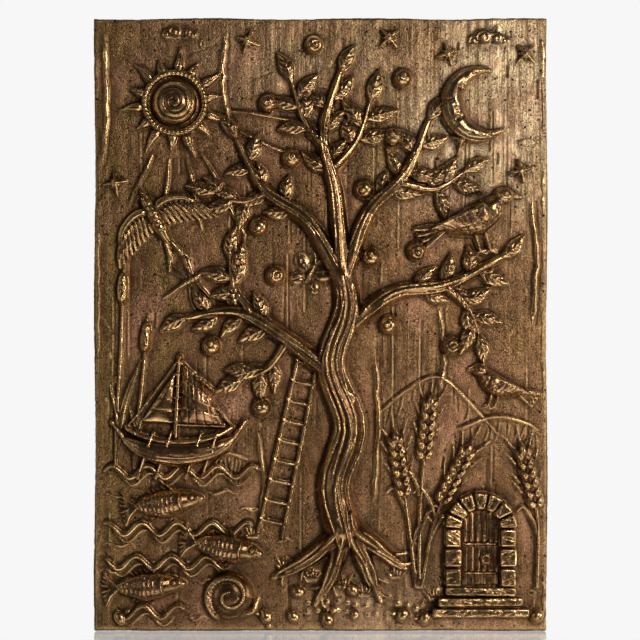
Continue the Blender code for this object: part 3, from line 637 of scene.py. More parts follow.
def moon():
    spec = skySpec
    at = spot(*spec["moon"])

    def onMoon(t, out):
        return at + direction(spec["moonStart"] + spec["moonSweep"] * t) * (spec["moonRadius"] + out)

    shares = [i / spec["moonSteps"] for i in range(spec["moonSteps"] + 1)]
    width = [max(0.0016, spec["moonWidth"] * sin(pi * t)) for t in shares]
    height = [spec["moonHeight"] * (0.35 + 0.65 * sin(pi * t)) for t in shares]
    roll([onMoon(t, 0) for t in shares], width, height, 0.3, 18)
    lip = [onMoon(t, 0.46 * w) for t, w in zip(shares, width)]
    roll(lip[1:-1], spec["lipWidth"], spec["lipHeight"])
    for i in range(spec["hammerMarks"]):
        t = chance.uniform(0.12, 0.88)
        place = onMoon(t, chance.uniform(-0.28, 0.28) * spec["moonWidth"] * sin(pi * t))
        dent(formMarks, place, chance.uniform(0.0008, 0.0017), chance.uniform(0.0003, 0.0007))
    for i, share in enumerate(spec["stars"]):
        star(spot(*share), 0.3 + 0.5 * i)


def star(at, turn):
    # a low pyramid with eight corners and a raised arm on each
    spec, radius = skySpec, skySpec["starRadius"]
    bm = bmesh.new()
    height = spec["starHeight"] + bodySpec["root"]
    bmesh.ops.create_cone(bm, cap_ends=True, segments=8, radius1=1, radius2=0.02, depth=height)
    for vert in bm.verts:
        corner = round(atan2(vert.co.y, vert.co.x) / (pi / 4)) % 2
        vert.co.xy *= radius * (0.42 if corner else 1.0)
    setDown(bm, at, height / 2 - bodySpec["root"], turn)
    boss(at, 0.0026, 0.0034, 0.0024)
    for k in range(8):
        way, reach = direction(turn + k * pi / 4), radius * (0.60 if k % 2 else 1.12)
        roll([at, at + way * reach * 0.6, at + way * reach], spec["starArmWidth"], spec["starArmHeight"], 0.4)


# Birds

birdSpec = {
    "bird": {"at": (0.68, 0.34), "heading": 6, "length": 0.0680},
    "chick": {"at": (0.78, -0.20), "heading": 172, "length": 0.0460, "mirrored": True},
    "swallow": {"at": (-0.72, 0.34), "heading": 118, "length": 0.0540},
    "dragonfly": {"at": (-0.60, 0.13), "heading": 32, "length": 0.0330},
    "butterfly": {"at": (-0.05, 0.16), "heading": 62, "length": 0.0250},
    "wingFeathers": 6,
    "tailFeathers": 4,
    "flightFeathers": 9,
    "plumeRows": 7,
    "plume": (0.00032, 0.0005),      # the width and depth of each cut
    "barb": (0.00028, 0.0003),
    "quill": (0.0003, 0.0004),
    "flightQuill": (0.0003, 0.00045),
    "bill": (0.0003, 0.0005),
    "eyeRing": (0.0003, 0.0005),
    "insectWing": (0.0004, 0.0004),
    "insectRib": (0.0004, 0.0005),
    "dragonflyBody": [0.0026, 0.0036, 0.0032, 0.0024, 0.0022, 0.0018],
    "dragonflyWing": [0.0018, 0.0017, 0.0015, 0.0010],
    "butterflyBody": [0.0028, 0.0036, 0.0022],
    "feeler": [0.0022, 0.0016, 0.0014],
}


def eyeAt(at, size, radius, height, floor, ring):
    # an eye, and a ring cut round it
    boss(at, radius * size, height * size, floor * size, detail=2)
    engrave(arc(at, ring, size, 0, [0.7 * k for k in range(10)]), birdSpec["eyeRing"])


def perchedBird(spec):
    # a bird seen from the side, its beak towards its heading
    spots, size, heading = figure(spec)
    body = smoothLine(spots((-0.34, -0.06), (-0.16, -0.03), (0.02, 0), (0.17, 0.09), (0.28, 0.20)), 13)
    roll(body, (0.10, 0.23, 0.31, 0.27, 0.17), (0.11, 0.17, 0.21, 0.195, 0.16), 0.3, 18, size=size)
    boss(spots((0.30, 0.205))[0], 0.092 * size, 0.10 * size, 0.085 * size, 1.12, heading)
    beak = spots((0.36, 0.205), (0.42, 0.195), (0.50, 0.165))
    roll(beak, (0.09, 0.055, 0.02), (0.14, 0.11, 0.07), 0.55, size=size)
    engrave(spots((0.37, 0.198), (0.47, 0.172)), birdSpec["bill"])
    eyeAt(spots((0.315, 0.225))[0], size, 0.026, 0.022, 0.182, 0.040)
    shoulder = spots((0.17, 0.07), (0.08, 0.06), (-0.03, 0.04))
    roll(shoulder, (0.13, 0.21, 0.17), (0.225, 0.25, 0.225), 0.78, 12, size=size)
    count = birdSpec["wingFeathers"]
    for i in range(count):      # the long feathers of the folded wing, the lowest first
        s = i / (count - 1)
        root, middle = (0.08 - 0.02 * s, 0.005 + 0.10 * s), (-0.12 - 0.05 * s, -0.045 + 0.09 * s)
        line = smoothLine(spots(root, middle, (-0.30 - 0.16 * s, -0.085 + 0.035 * s)), 7)
        tall = (0.215 + 0.012 * s, 0.205 + 0.014 * s, 0.13 + 0.02 * s)
        roll(line, (0.045, 0.050, 0.024), tall, 0.82, size=size)
        for k in range(1, 6):
            side = direction(heading + pi + radians(28 * (-1) ** k))
            engrave([line[k], line[k] + side * 0.030 * size], birdSpec["barb"])
    for i in range(birdSpec["tailFeathers"]):
        middle, tip = (-0.46 + 0.012 * i, -0.03 - 0.036 * i), (-0.64 + 0.03 * i, -0.035 - 0.068 * i)
        feather = smoothLine(spots((-0.28, -0.05), middle, tip), 7)
        roll(feather, (0.06, 0.075, 0.045), (0.11, 0.085 - 0.006 * i, 0.05), size=size)
        engrave(feather[1:6], birdSpec["quill"])
    curl = times(-1 if spec.get("mirrored") else 1, (2.2, 2.8, 3.4, 4.0, 4.6))
    for row in range(birdSpec["plumeRows"]):    # small plumes of the breast
        for k in range(5):
            x, y = 0.235 - 0.065 * row + 0.012 * k, 0.105 - 0.036 * row - 0.040 * k + 0.02 * (row % 2)
            engrave(arc(spots((x, y))[0], 0.026, size, heading, curl), birdSpec["plume"])
    for foot in (-0.02, 0.08):
        leg = spots((foot, -0.10), (foot + 0.01, -0.20), (foot + 0.035, -0.325))
        roll(smoothLine(leg, 5), (0.055, 0.034, 0.032), (0.10, 0.07, 0.06), size=size)
        for x, y in ((0.07, -0.03), (0.08, 0.015), (-0.05, -0.012)):
            claw = spots((foot + 0.035, -0.32), (foot + 0.035 + x, -0.325 + y))
            roll(claw, (0.030, 0.020), (0.055, 0.035), 0.5, 6, size=size)


def flyingBird(spec):
    # a bird in flight seen from above
    spots, size, heading = figure(spec)
    body = spots((-0.36, 0.0), (-0.15, 0.0), (0.08, 0.0), (0.26, 0.0), (0.34, 0.0))
    roll(body, (0.07, 0.16, 0.22, 0.18, 0.14), (0.08, 0.14, 0.19, 0.175, 0.14), 0.3, 16, size=size)
    roll(spots((0.36, 0.0), (0.46, 0.0)), (0.07, 0.02), (0.11, 0.06), size=size)
    count = birdSpec["flightFeathers"]
    for side in (0, 1):
        arm = smoothLine(spots((0.14, 0.04), (0.17, 0.22), (0.08, 0.44), (-0.10, 0.58), side=side), 9)
        roll(arm, (0.12, 0.11, 0.09, 0.05), (0.145, 0.14, 0.12, 0.07), 0.5, 10, size=size)
        for i in range(count):      # the innermost first
            s = i / (count - 1)
            root = (0.13 + 0.06 * s - 0.24 * s * s, 0.07 + 0.47 * s)
            tip = (-0.13 - 0.20 * s, 0.12 + 0.58 * s)
            middle = ((root[0] + tip[0]) / 2, (root[1] + tip[1]) / 2 + 0.015)
            feather = spots(root, middle, tip, side=side)
            roll(smoothLine(feather, 6), (0.05, 0.068, 0.034), (0.12, 0.10, 0.045), size=size)
            engrave(feather, birdSpec["flightQuill"])
        fork = smoothLine(spots((-0.28, 0.02), (-0.48, 0.075), (-0.66, 0.17), side=side), 7)
        roll(fork, (0.07, 0.06, 0.022), (0.09, 0.075, 0.045), 0.45, size=size)
        roll(shifted(fork, 0.03 * size * (-1) ** side, 0, 0.7), 0.035, 0.06, 0.45, size=size)
        boss(spots((0.31, 0.035), side=side)[0], 0.016 * size, 0.02 * size, 0.145 * size, detail=2)
    for row in range(6):
        for k in (-1, 0, 1):
            place = spots((0.22 - 0.07 * row, 0.055 * k + 0.02 * (row % 2)))[0]
            engrave(arc(place, 0.028, size, heading, (2.3, 2.8, 3.3, 3.9)), birdSpec["plume"])


def dragonfly(spec):
    # a dragonfly over the reeds, low on the ground
    spots, size = figure(spec)[:2]
    body = smoothLine(spots((0.42, 0.0), (0.22, 0.0), (0.0, 0.01), (-0.55, -0.02)), 14)
    roll(body, (0.09, 0.14, 0.12, 0.06, 0.055, 0.05), birdSpec["dragonflyBody"], 0.35, 12, size=(size, 1))
    boss(spots((0.47, 0.0))[0], 0.065 * size, 0.0034)
    for side in (0, 1):
        for root, x, y in ((0.24, 0.34, 0.62), (0.13, -0.10, 0.58)):
            wing = spots((root, 0.03), ((root + x) / 2, 0.32), (x, y), side=side)
            line = smoothLine(wing, 8)
            roll(line, (0.05, 0.13, 0.16, 0.12, 0.03), birdSpec["dragonflyWing"], 0.3, 12, size=(size, 1))
            engrave(wing, birdSpec["insectWing"])
    for k in range(4, 13, 2):
        across = Vector((body[k - 1] - body[k + 1]).yx) * Vector((-1, 1))
        engrave([body[k] - across * 0.6, body[k] + across * 0.6], birdSpec["insectRib"])


def butterfly(spec):
    # a butterfly with open wings, low on the ground
    spots, size, heading = figure(spec)
    body = spots((0.36, 0.0), (0.0, 0.0), (-0.42, 0.0))
    roll(body, (0.07, 0.12, 0.06), birdSpec["butterflyBody"], 0.4, 10, size=(size, 1))
    for side in (0, 1):
        turn = radians(52 * (-1) ** side)
        for x, y, radius, stretch, lean in ((0.24, 0.34, 0.21, 1.45, turn), (-0.22, 0.25, 0.17, 1.25, -turn)):
            middle = spots((x, y), side=side)[0]
            boss(middle, radius * size, 0.0020, 0, stretch, heading + lean)
            dent(formMarks, middle, 0.0009, 0.0006)
            engrave(spots((x * 0.3, 0.04), (x * 1.5, y * 1.4), side=side), birdSpec["insectRib"])
        feeler = smoothLine(spots((0.36, 0.01), (0.52, 0.08), (0.62, 0.20), side=side), 6)
        roll(feeler, 0.0011, birdSpec["feeler"], 0.4, 6)


def birds():
    perchedBird(birdSpec["bird"])
    perchedBird(birdSpec["chick"])
    flyingBird(birdSpec["swallow"])
    dragonfly(birdSpec["dragonfly"])
    butterfly(birdSpec["butterfly"])


# Fish

fishSpec = {
    "length": 0.0580,
    "places": [(-0.68, -0.580, 8), (-0.42, -0.725, -10), (-0.76, -0.850, 4)],
    "scaleRows": 9,
    "scale": (0.00030, 0.00055),
    "mouth": (0.0003, 0.0006),
}


def fish(u, v, turn):
    spots, size, heading = figure({"at": (u, v), "heading": turn, "length": fishSpec["length"]})
    body = spots((-0.38, 0.01), (-0.18, 0.0), (0.02, -0.01), (0.22, 0.0), (0.36, 0.0), (0.46, -0.01))
    wide, tall = (0.08, 0.23, 0.33, 0.31, 0.22, 0.07), (0.08, 0.13, 0.17, 0.17, 0.13, 0.07)
    roll(smoothLine(body, 16), wide, tall, 0.3, 18, size=size)
    for side in (0, 1):
        for k in range(4):      # rays of the tail
            tip = (-0.55 + 0.015 * k, 0.045 + 0.055 * k)
            ray = spots((-0.34, 0.005), (-0.44, 0.02 + 0.022 * k), tip, side=side)
            roll(ray, (0.045, 0.055, 0.030), (0.085, 0.07, 0.045), 0.4, 6, size=size)
        for k in range(5):      # rays of the fin
            root, tip = (0.12 - 0.055 * k, 0.125 - 0.006 * k), (0.02 - 0.055 * k, 0.215 - 0.012 * k)
            roll(spots(root, tip, side=side), (0.045, 0.026), (0.085, 0.045), 0.4, 6, size=size)
    gill = smoothLine(spots((0.20, 0.13), (0.165, 0.0), (0.20, -0.13)), 9)
    roll(gill, 0.030, (0.10, 0.172, 0.192, 0.172, 0.10), 0.8, size=size)
    eyeAt(spots((0.32, 0.03))[0], size, 0.032, 0.03, 0.135, 0.050)
    engrave(spots((0.46, -0.02), (0.39, -0.035)), fishSpec["mouth"])
    for row in range(fishSpec["scaleRows"]):
        for k in range(-3, 4):
            x, y = 0.11 - 0.052 * row, 0.045 * k + 0.0225 * (row % 2)
            if abs(y) < 0.145 - 0.006 * row:
                rim = arc(spots((x, y))[0], 0.026, size, heading, (2.1, 2.6, 3.14, 3.7, 4.2))
                engrave(rim, fishSpec["scale"])


# Water, boat and shell

waterSpec = {
    "waves": [      # left end, right end and level
        (-0.955, -0.27, -0.480), (-0.955, -0.30, -0.665), (-0.955, -0.40, -0.775), (-0.90, -0.60, -0.935),
    ],
    "width": 0.0034,
    "height": 0.0034,
    "rise": 0.0042,
    "length": 0.0240,
    "underWidth": [0.0010, 0.0019, 0.0014, 0.0019, 0.0010],
    "underHeight": 0.0019,
    "groove": (0.0006, 0.0006),
    "shell": (-0.40, -0.880),
    "shellRadius": 0.0165,
    "shellHeight": 0.0090,
    "shellTurns": 1.7,
    "growthLines": 40,
    "growth": (0.00035, 0.0005),
    "mouthWidth": [0.002, 0.0042, 0.002],
    "mouthHeight": [0.002, 0.0046, 0.002],
}
boatSpec = {
    "at": (-0.62, -0.410),
    "heading": 0,
    "length": 0.0780,
    "depth": 0.0190,
    "height": 0.0135,
    "keel": [(-0.52, 0.13), (-0.30, 0.02), (0.0, -0.02), (0.30, 0.02), (0.52, 0.14)],
    "planks": (-0.62, -0.28, 0.06),
    "rivet": (0.00045, 0.0005),
    "oars": (-0.26, -0.10, 0.16, 0.30),
    "oarHeight": [0.0100, 0.0132, 0.0060],
    "postWidth": [0.0044, 0.0034, 0.0024],
    "postHeight": [0.0066, 0.0060, 0.0040],
    "mastLength": 0.0640,
    "mastWidth": 0.0036,
    "mastTaper": [0.0040, 0.0034, 0.0026],
    "mastHeight": 0.0064,
    "sailWidth": 0.0310,
    "sailHeight": 0.0036,
    "sailBelly": 0.0050,
    "yardWidth": 0.0024,
    "yardHeight": 0.0058,
    "stayWidth": 0.0013,
    "stayHeight": [0.0048, 0.0024, 0.0050],
    "seam": (0.00035, 0.0005),
    "ridge": (0.00035, -0.0005),
}


def water():
    spec = waterSpec
    for i, (left, right, level) in enumerate(spec["waves"]):
        start, end = spot(left, level), spot(right, level)
        count = int((end.x - start.x) / spec["length"] * 14) + 1
        line = [start.lerp(end, k / (count - 1)) for k in range(count)]
        for point in line:
            point.y += spec["rise"] * sin(fullTurn * (point.x - start.x) / spec["length"] + i)
        swell = [0.0014, *[spec["width"] * (1 + 0.2 * (-1) ** k) for k in range(6)], 0.0014]
        roll(line, swell, spec["height"], 0.35, 10)
        under = [point - Vector((-0.002, 0.0048)) for point in line[3:-5]]
        roll(under, spec["underWidth"], spec["underHeight"], 0.3)
        score([point + Vector((0, 0.0030)) for point in line], spec["groove"])
        for k in range(5, count - 3, 14):   # drops over the crests
            boss(line[k] + Vector((chance.uniform(-0.002, 0.002), 0.0045)), 0.0011, 0.0016, detail=2)
    for place in fishSpec["places"]:
        fish(*place)


def shell():
    spec = waterSpec
    at, radius, height = spot(*spec["shell"]), spec["shellRadius"], spec["shellHeight"]
    turns = fullTurn * spec["shellTurns"]
    boss(at, radius, height, detail=4)
    line, tall, wide = [], [], []
    for i in range(46):
        share = 1 - 0.86 * i / 45
        line.append(at + direction(turns * share) * radius * share)
        tall.append(height * sqrt(1 - share**2) + 0.0018)
        wide.append(0.0044 * share + 0.0012)
    roll(line, wide, tall, 0.85, 10)
    for i in range(spec["growthLines"]):
        share = 1 - 0.80 * i / (spec["growthLines"] - 1)
        angle = turns * share
        inner, outer = direction(angle) * radius * share * 0.74, direction(angle - 0.16) * radius * share
        engrave([at + inner, at + outer], spec["growth"])
    mouth = [at + Vector((radius * x, radius * y)) for x, y in ((0.2, -0.9), (0.9, -0.7), (1.2, -0.1))]
    roll(smoothLine(mouth, 7), spec["mouthWidth"], spec["mouthHeight"], 0.4)


def boat():
    spec = boatSpec
    at, depth, height = spot(*spec["at"]), spec["depth"], spec["height"]
    spots, size = figure(spec)[:2]
    hull = smoothLine(spots(*spec["keel"]), 21)
    wide, tall = (0.12, 0.62, 0.9, 1, 0.9, 0.62, 0.12), (0.35, 0.8, 0.97, 1, 0.97, 0.8, 0.35)
    roll(hull, wide, tall, 0.2, 20, size=(depth, height))
    for lane in spec["planks"]:
        lap = shifted(hull, times(depth * lane * 0.5, (0.1, 0.62, 0.9, 1, 0.9, 0.62, 0.1)), 0.06, 0.94)
        top = height * sqrt(1 - (0.8 * lane) ** 2) + 0.0004
        roll(lap, 0.0014, (0.5, 0.84, 0.97, 1, 0.97, 0.84, 0.5), 0.8, 6, size=(1, top))
        for k in range(2, len(lap) - 2, 3):
            dent(formMarks, lap[k] - Vector((0, 0.0014)), *spec["rivet"])
    rail = [point + Vector((0, depth * 0.42)) for point in hull[1:-1]]
    roll(rail, 0.0034, (0.45, 0.72, 0.80, 0.80, 0.72, 0.45), 0.62, 10, size=(1, height))
    for post, side, lean in ((hull[0], -1, 0.26), (hull[-1], 1, 0.20)):      # stem and stern posts
        tip = post + Vector((side * lean * 0.02, 0.009))
        bent = [post - Vector((side * 0.003, 0.001)), post + Vector((side * 0.001, 0.004)), tip]
        roll(smoothLine(bent, 5), spec["postWidth"], spec["postHeight"], 0.4, 10)
        boss(tip, 0.0021, 0.0030, 0.0014, detail=2)
    for x in spec["oars"]:
        lock = at + Vector((x * size, 0.004))
        blade = lock + Vector((-0.007, -0.019))
        roll([lock + Vector((0.003, 0.009)), lock, blade], 0.0016, spec["oarHeight"], 0.9, 6)
        roll([blade - Vector((-0.0012, -0.003)), blade + Vector((-0.0018, -0.005))], (0.0022, 0.0034), 0.0040)
    foot = at - Vector((0.04 * size, 0))
    top = foot + Vector((0.05 * spec["mastLength"], spec["mastLength"]))
    roll([foot, foot.lerp(top, 0.5), top], spec["mastTaper"], spec["mastHeight"], 0.5, 10)
    for k in range(6):
        bind, half = foot.lerp(top, 0.32 + 0.125 * k), Vector((0.0024, 0.0004))
        roll([bind - half, bind + half], 0.0013, 0.0070, 0.7, 6)
    boss(top, 0.0024, 0.0042, 0.0012, detail=2)
    clear, reach = Vector((spec["mastWidth"] * 0.7, 0)), Vector((spec["sailWidth"], 0))
    a, b = foot.lerp(top, 0.30) + clear, foot.lerp(top, 0.28) + reach
    c, d = foot.lerp(top, 0.62) + reach * 0.72, foot.lerp(top, 0.96) + clear
    cloth((a, b, c, d), spec["sailHeight"], spec["sailBelly"])
    e, f = foot.lerp(top, 0.32) - reach * 0.75, foot.lerp(top, 0.30) - clear
    g, h = foot.lerp(top, 0.82) - clear, foot.lerp(top, 0.80) - clear * 1.6
    cloth((e, f, g, h), spec["sailHeight"], spec["sailBelly"] / 2)
    roll([a - Vector((0.002, 0.0012)), b + Vector((0.003, -0.0012))], spec["yardWidth"], spec["yardHeight"])
    roll([d + Vector((-0.004, 0.0006)), c + Vector((0.003, 0.0014))], spec["yardWidth"], spec["yardHeight"])
    for k in range(1, 5):
        engrave([a.lerp(b, k / 5), d.lerp(c, k / 5)], spec["seam"])
    for k in range(1, 4):
        engrave([a.lerp(d, k / 4), b.lerp(c, k / 4)], spec["ridge"])
        engrave([e.lerp(h, k / 4), f.lerp(g, k / 4)], spec["seam"])
    for side, far in ((-1, hull[1]), (1, hull[-2])):
        middle = top.lerp(far, 0.5) + Vector((side * 0.001, 0))
        stay = [top - Vector((0, 0.001)), middle, far + Vector((0, 0.006))]
        roll(stay, spec["stayWidth"], spec["stayHeight"], 0.5, 6)


# Reeds and corn

plantSpec = {
    "reeds": [(-0.90, -0.46, 0.10, 0.03), (-0.82, -0.47, -0.06, 0.05)],
    "reedWidth": 0.0024,
    "reedHeight": 0.0030,
    "headWidth": 0.0074,
    "headLength": 0.0210,
    "headDents": 60,
    "headDent": (0.00045, 0.00045),
    "blade": 0.0044,
    "bladeHeight": [0.0020, 0.0028, 0.0028, 0.0024, 0.0012],
    "bladeGroove": (0.00035, 0.0006),
    "corn": [
        [(0.42, -0.86), (0.38, -0.62), (0.33, -0.38)],
        [(0.43, -0.86), (0.44, -0.55), (0.48, -0.26)],
        [(0.44, -0.86), (0.51, -0.62), (0.64, -0.42)],
        [(0.95, -0.86), (0.95, -0.62), (0.89, -0.42)],
    ],
    "stalk": [0.0032, 0.0026, 0.0022],
    "stalkHeight": 0.0032,
    "cornLeafWidth": [0.0014, 0.0034, 0.0028, 0.0010],
    "cornLeafHeight": [0.0030, 0.0032, 0.0034, 0.0018],
    "grainLength": 0.0105,
    "grainWidth": 0.0054,
    "grainHeight": 0.0056,
    "grainPairs": 6,
    "grainGroove": (0.0003, 0.0005),
    "awn": 0.0125,
    "awnWidth": [0.0014, 0.0012, 0.0009],
    "awnHeight": [0.0026, 0.0019, 0.0011],
}


def reeds():
    spec = plantSpec
    for u, low, high, lean in spec["reeds"]:
        start, end = spot(u, low), spot(u + lean, high)
        ahead = (end - start).normalized()
        stem = shifted([start.lerp(end, t / 6) for t in range(7)], [0, 0.0007, 0, -0.0006, 0])
        roll(stem, spec["reedWidth"], spec["reedHeight"], 0.4)
        head = [end + ahead * spec["headLength"] * (t - 0.3) for t in (0, 0.15, 0.5, 0.85, 1)]
        roll(head, (0.7, 1, 1.04, 0.95, 0.5), (0.8, 0.9, 0.94, 0.9, 0.6), 0.4, 16, size=spec["headWidth"])
        roll([head[-1], head[-1] + ahead * 0.006], (0.0022, 0.0012), (0.0034, 0.0016), 0.4, 6)
        for k in range(spec["headDents"]):
            place = head[0].lerp(head[-1], chance.random())
            dent(formMarks, place + Vector((chance.uniform(-0.003, 0.003), 0)), *spec["headDent"])
        for side, share, out in ((-1, 0.48, 0.08), (1, 0.62, 0.24)):
            length = (end - start).length * share
            tip = start + Vector((side * length * out, length))
            blade = smoothLine([start, start.lerp(tip, 0.55) - Vector((side * spec["blade"], 0)), tip], 10)
            roll(blade, (0.5, 0.9, 1, 0.8, 0.2), spec["bladeHeight"], 0.45, size=(spec["blade"], 1))
            engrave(blade, spec["bladeGroove"])


def grainAt(start, way, awn=True):
    spec = plantSpec
    line = along(start, way * spec["grainLength"], fourths)
    size = (spec["grainWidth"], spec["grainHeight"])
    roll(line, (0.3, 0.9, 1, 0.7, 0.14), (0.6, 0.95, 1, 0.85, 0.5), 0.45, 10, size=size)
    engrave(line[1:4], spec["grainGroove"])
    if awn:
        tip = line[-1] + way * spec["awn"]
        bristle = [line[-1] - way * 0.001, line[-1].lerp(tip, 0.5), tip]
        roll(bristle, spec["awnWidth"], spec["awnHeight"], 0.3, 6)


def corn():
    spec = plantSpec
    for i, shares in enumerate(spec["corn"]):
        line, stem = path(shares, 7), path(shares, 16)
        roll(stem, spec["stalk"], spec["stalkHeight"], 0.4)
        for k, side in ((4, 1), (7, -1)) if i < 3 else ((5, -1),):
            root = stem[k]
            tip = root + Vector((side * 0.010, 0.022))
            blade = [root, root + Vector((side * 0.0035, 0.012)), tip, tip + Vector((side * 0.005, -0.004))]
            roll(smoothLine(blade, 9), spec["cornLeafWidth"], spec["cornLeafHeight"])
        ahead = (line[-1] - line[-2]).normalized()
        for k in range(spec["grainPairs"]):
            root = line[-1] - ahead * spec["grainLength"] * 0.64 * (spec["grainPairs"] - k)
            for side in (-1, 1):
                way = Matrix.Rotation(side * radians(26), 2) @ ahead
                grainAt(root + way * spec["grainWidth"] * 0.35, way, k % 2 == 1)
        grainAt(line[-1] - ahead * spec["grainLength"] * 0.2, ahead)


# Gateway and pebbles

gateSpec = {
    "foot": (0.70, -0.85),
    "opening": 0.0270,
    "jamb": 0.0400,
    "stoneDepth": 0.0105,
    "stoneLength": 0.0125,
    "joint": 0.0010,
    "height": 0.0080,
    "step": 0.0070,
    "archStones": 7,
    "steps": 3,
    "boards": 6,
    "boardHeight": 0.0018,
    "strapWidth": 0.0026,
    "strapHeight": 0.0030,
    "chiselWidth": 0.00035,
    "pebbles": [
        (-0.12, -0.950), (0.03, -0.960), (0.15, -0.945), (0.36, -0.945), (0.46, -0.955), (-0.24, -0.950),
        (-0.10, -0.87), (-0.88, -0.955), (0.95, -0.950), (0.14, -0.865),
    ],
    "pebble": 0.0044,
}


def chisel(at, length, width, turn, count):
    # short cuts of a chisel over a stone's face
    ahead, across = direction(turn), direction(turn + pi / 2)
    slant = chance.uniform(-0.5, 0.5)
    for i in range(count):
        place = at + ahead * length * chance.uniform(-0.42, 0.42)
        place += across * width * chance.uniform(-0.38, 0.38)
        way = direction(turn + slant + chance.uniform(-0.15, 0.15)) * chance.uniform(0.0012, 0.0028)
        engrave([place - way, place + way], (gateSpec["chiselWidth"], chance.uniform(0.0002, 0.0005)))


def stone(at, length, width, height, turn=0.0, wedge=0.0):
    tilt = chance.uniform(-0.05, 0.05)
    length, height = length * chance.uniform(0.97, 1.02), height * chance.uniform(0.96, 1.03)
    block(at, length, width, height, turn, tilt, wedge)
    chisel(at, length, width, turn, 9)


def gateway():
    spec = gateSpec
    foot, jamb, depth = spot(*spec["foot"]), spec["jamb"], spec["stoneDepth"]
    courses = round(jamb / spec["stoneLength"])
    pitch = jamb / courses
    reach = (spec["opening"] + depth) / 2
    for side in (-1, 1):
        for i in range(courses):
            at = foot + Vector((side * reach, pitch * (i + 0.5)))
            proud = 1.08 if i % 2 else 1.0
            stone(at, depth * proud, pitch - spec["joint"], spec["height"] * proud)
    width = pi * reach / spec["archStones"] - spec["joint"]
    for i in range(spec["archStones"]):
        angle = pi * (i + 0.5) / spec["archStones"]
        at = foot + Vector((0, jamb)) + direction(angle) * reach
        stone(at, depth * 1.1, width, spec["height"] * 1.15, angle, depth * 1.1 / reach)
    for i in range(spec["steps"]):
        at = foot - Vector((0, spec["step"] * (i + 0.5)))
        length = spec["opening"] + depth * (2.2 + 0.9 * i)
        stone(at, length, spec["step"] - spec["joint"], spec["height"] * (0.7 + 0.2 * i))
        chisel(at, length, spec["step"], 0, 16)
    wide, half = spec["opening"] * 0.48, spec["boards"] / 2
    for k in range(spec["boards"]):          # a boarded door behind the arch
        x = (k - half + 0.5) / half * wide
        rise = jamb + sqrt(max(0, wide**2 - x**2)) * 0.9
        board = [foot + Vector((x, 0.001)), foot + Vector((x, rise * 0.5)), foot + Vector((x, rise))]
        roll(board, wide / half * 0.9, spec["boardHeight"], 0.6, 8, (False, False))
    for level in (0.22, 0.72):
        strap = [foot + Vector((side * wide * 0.9, jamb * level)) for side in (-1, 1)]
        roll(strap, spec["strapWidth"], spec["strapHeight"])
        for k in range(4):
            boss(foot + Vector((wide * (k - 1.5) * 0.5, jamb * level)), 0.0010, 0.0012, 0.0026, detail=2)
    hoop(foot + Vector((wide * 0.3, jamb * 0.46)), 0.0026, 0.0014, 0.0020, 0.0014, 16)


def pebbles():
    for i, share in enumerate(gateSpec["pebbles"]):
        size = gateSpec["pebble"] * chance.uniform(0.75, 1.1)
        boss(spot(*share), size, size * 0.9, 0.0004, 1.25, chance.uniform(0, pi))
        if i % 2:
            boss(spot(*share) + direction(i) * size * 1.5, size * 0.5, size * 0.5, 0, 1.2, i, 2)


# Ground: seams, lips and scraps of wax, then the comb

groundSpec = {
    "seams": [
        [(-0.42, 0.95), (-0.43, 0.78), (-0.40, 0.66)],
        [(0.52, 0.05), (0.54, -0.10), (0.52, -0.22)],
        [(-0.28, -0.34), (-0.25, -0.50), (-0.27, -0.66)],
        [(0.93, 0.40), (0.95, 0.20), (0.93, 0.00)],
        [(-0.95, 0.94), (-0.94, 0.70), (-0.96, 0.52)],
        [(0.24, -0.10), (0.25, -0.32), (0.23, -0.58)],
    ],
    "lips": [(1, 0.62, 0.93), (1, 0.36, 0.50), (1, -0.25, 0.05), (1, -0.95, -0.80), (-1, -0.10, 0.30)],
    "hills": [
        [(0.24, -0.30), (0.38, -0.21), (0.52, -0.17), (0.66, -0.26), (0.78, -0.36)],
        [(0.60, -0.34), (0.76, -0.30), (0.90, -0.32), (0.96, -0.35)],
        [(-0.52, -0.50), (-0.42, -0.42), (-0.32, -0.44)],
    ],
    "hillHeight": [0.0008, 0.0016, 0.0018, 0.0015, 0.0008],
    "clouds": [(0.74, 0.925, 0.0120), (-0.62, 0.945, 0.0100)],
    "cloudLumps": [(-0.85, 0.0, 0.34), (-0.30, 0.16, 0.52), (0.38, 0.10, 0.44), (0.90, -0.02, 0.28)],
    "cloudHeight": 0.0021,
    "ripples": [
        (-0.95, -0.555, 0.017), (-0.50, -0.545, 0.022), (-0.36, -0.60, 0.016), (-0.62, -0.700, 0.013),
        (-0.96, -0.715, 0.022), (-0.20, -0.700, 0.012), (-0.55, -0.835, 0.012), (-0.97, -0.800, 0.014),
        (-0.30, -0.945, 0.014), (-0.60, -0.955, 0.016),
    ],
    "rippleWidth": [0.0008, 0.0019, 0.0021, 0.0017, 0.0008],
    "rippleHeight": [0.0006, 0.0014, 0.0015, 0.0012, 0.0006],
    "tufts": [
        (-0.16, -0.80), (0.10, -0.86), (0.33, -0.83), (0.50, -0.90), (-0.04, -0.84), (0.19, -0.89),
        (0.90, -0.55), (-0.30, -0.70),
    ],
    "grassWidth": [0.0016, 0.0019, 0.0014, 0.0008],
    "grassHeight": [0.0014, 0.0020, 0.0016, 0.0006],
    "way": [(0.50, -0.965), (0.36, -0.925), (0.20, -0.93), (0.05, -0.915), (-0.10, -0.925)],
    "combDepth": 0.00026,
    "gouges": 150,
    "scores": 26,
    "slots": 16,
    "brightSlots": 6,
    "pits": 420,
    "presses": 46,
    "swells": 24,
    "scratches": 60,
    "scraps": 26,
}


def uneven(draw, end, low, high, count):
    # random sizes between two ends of the same size
    return [end, *[draw.uniform(low, high) for k in range(count)], end]


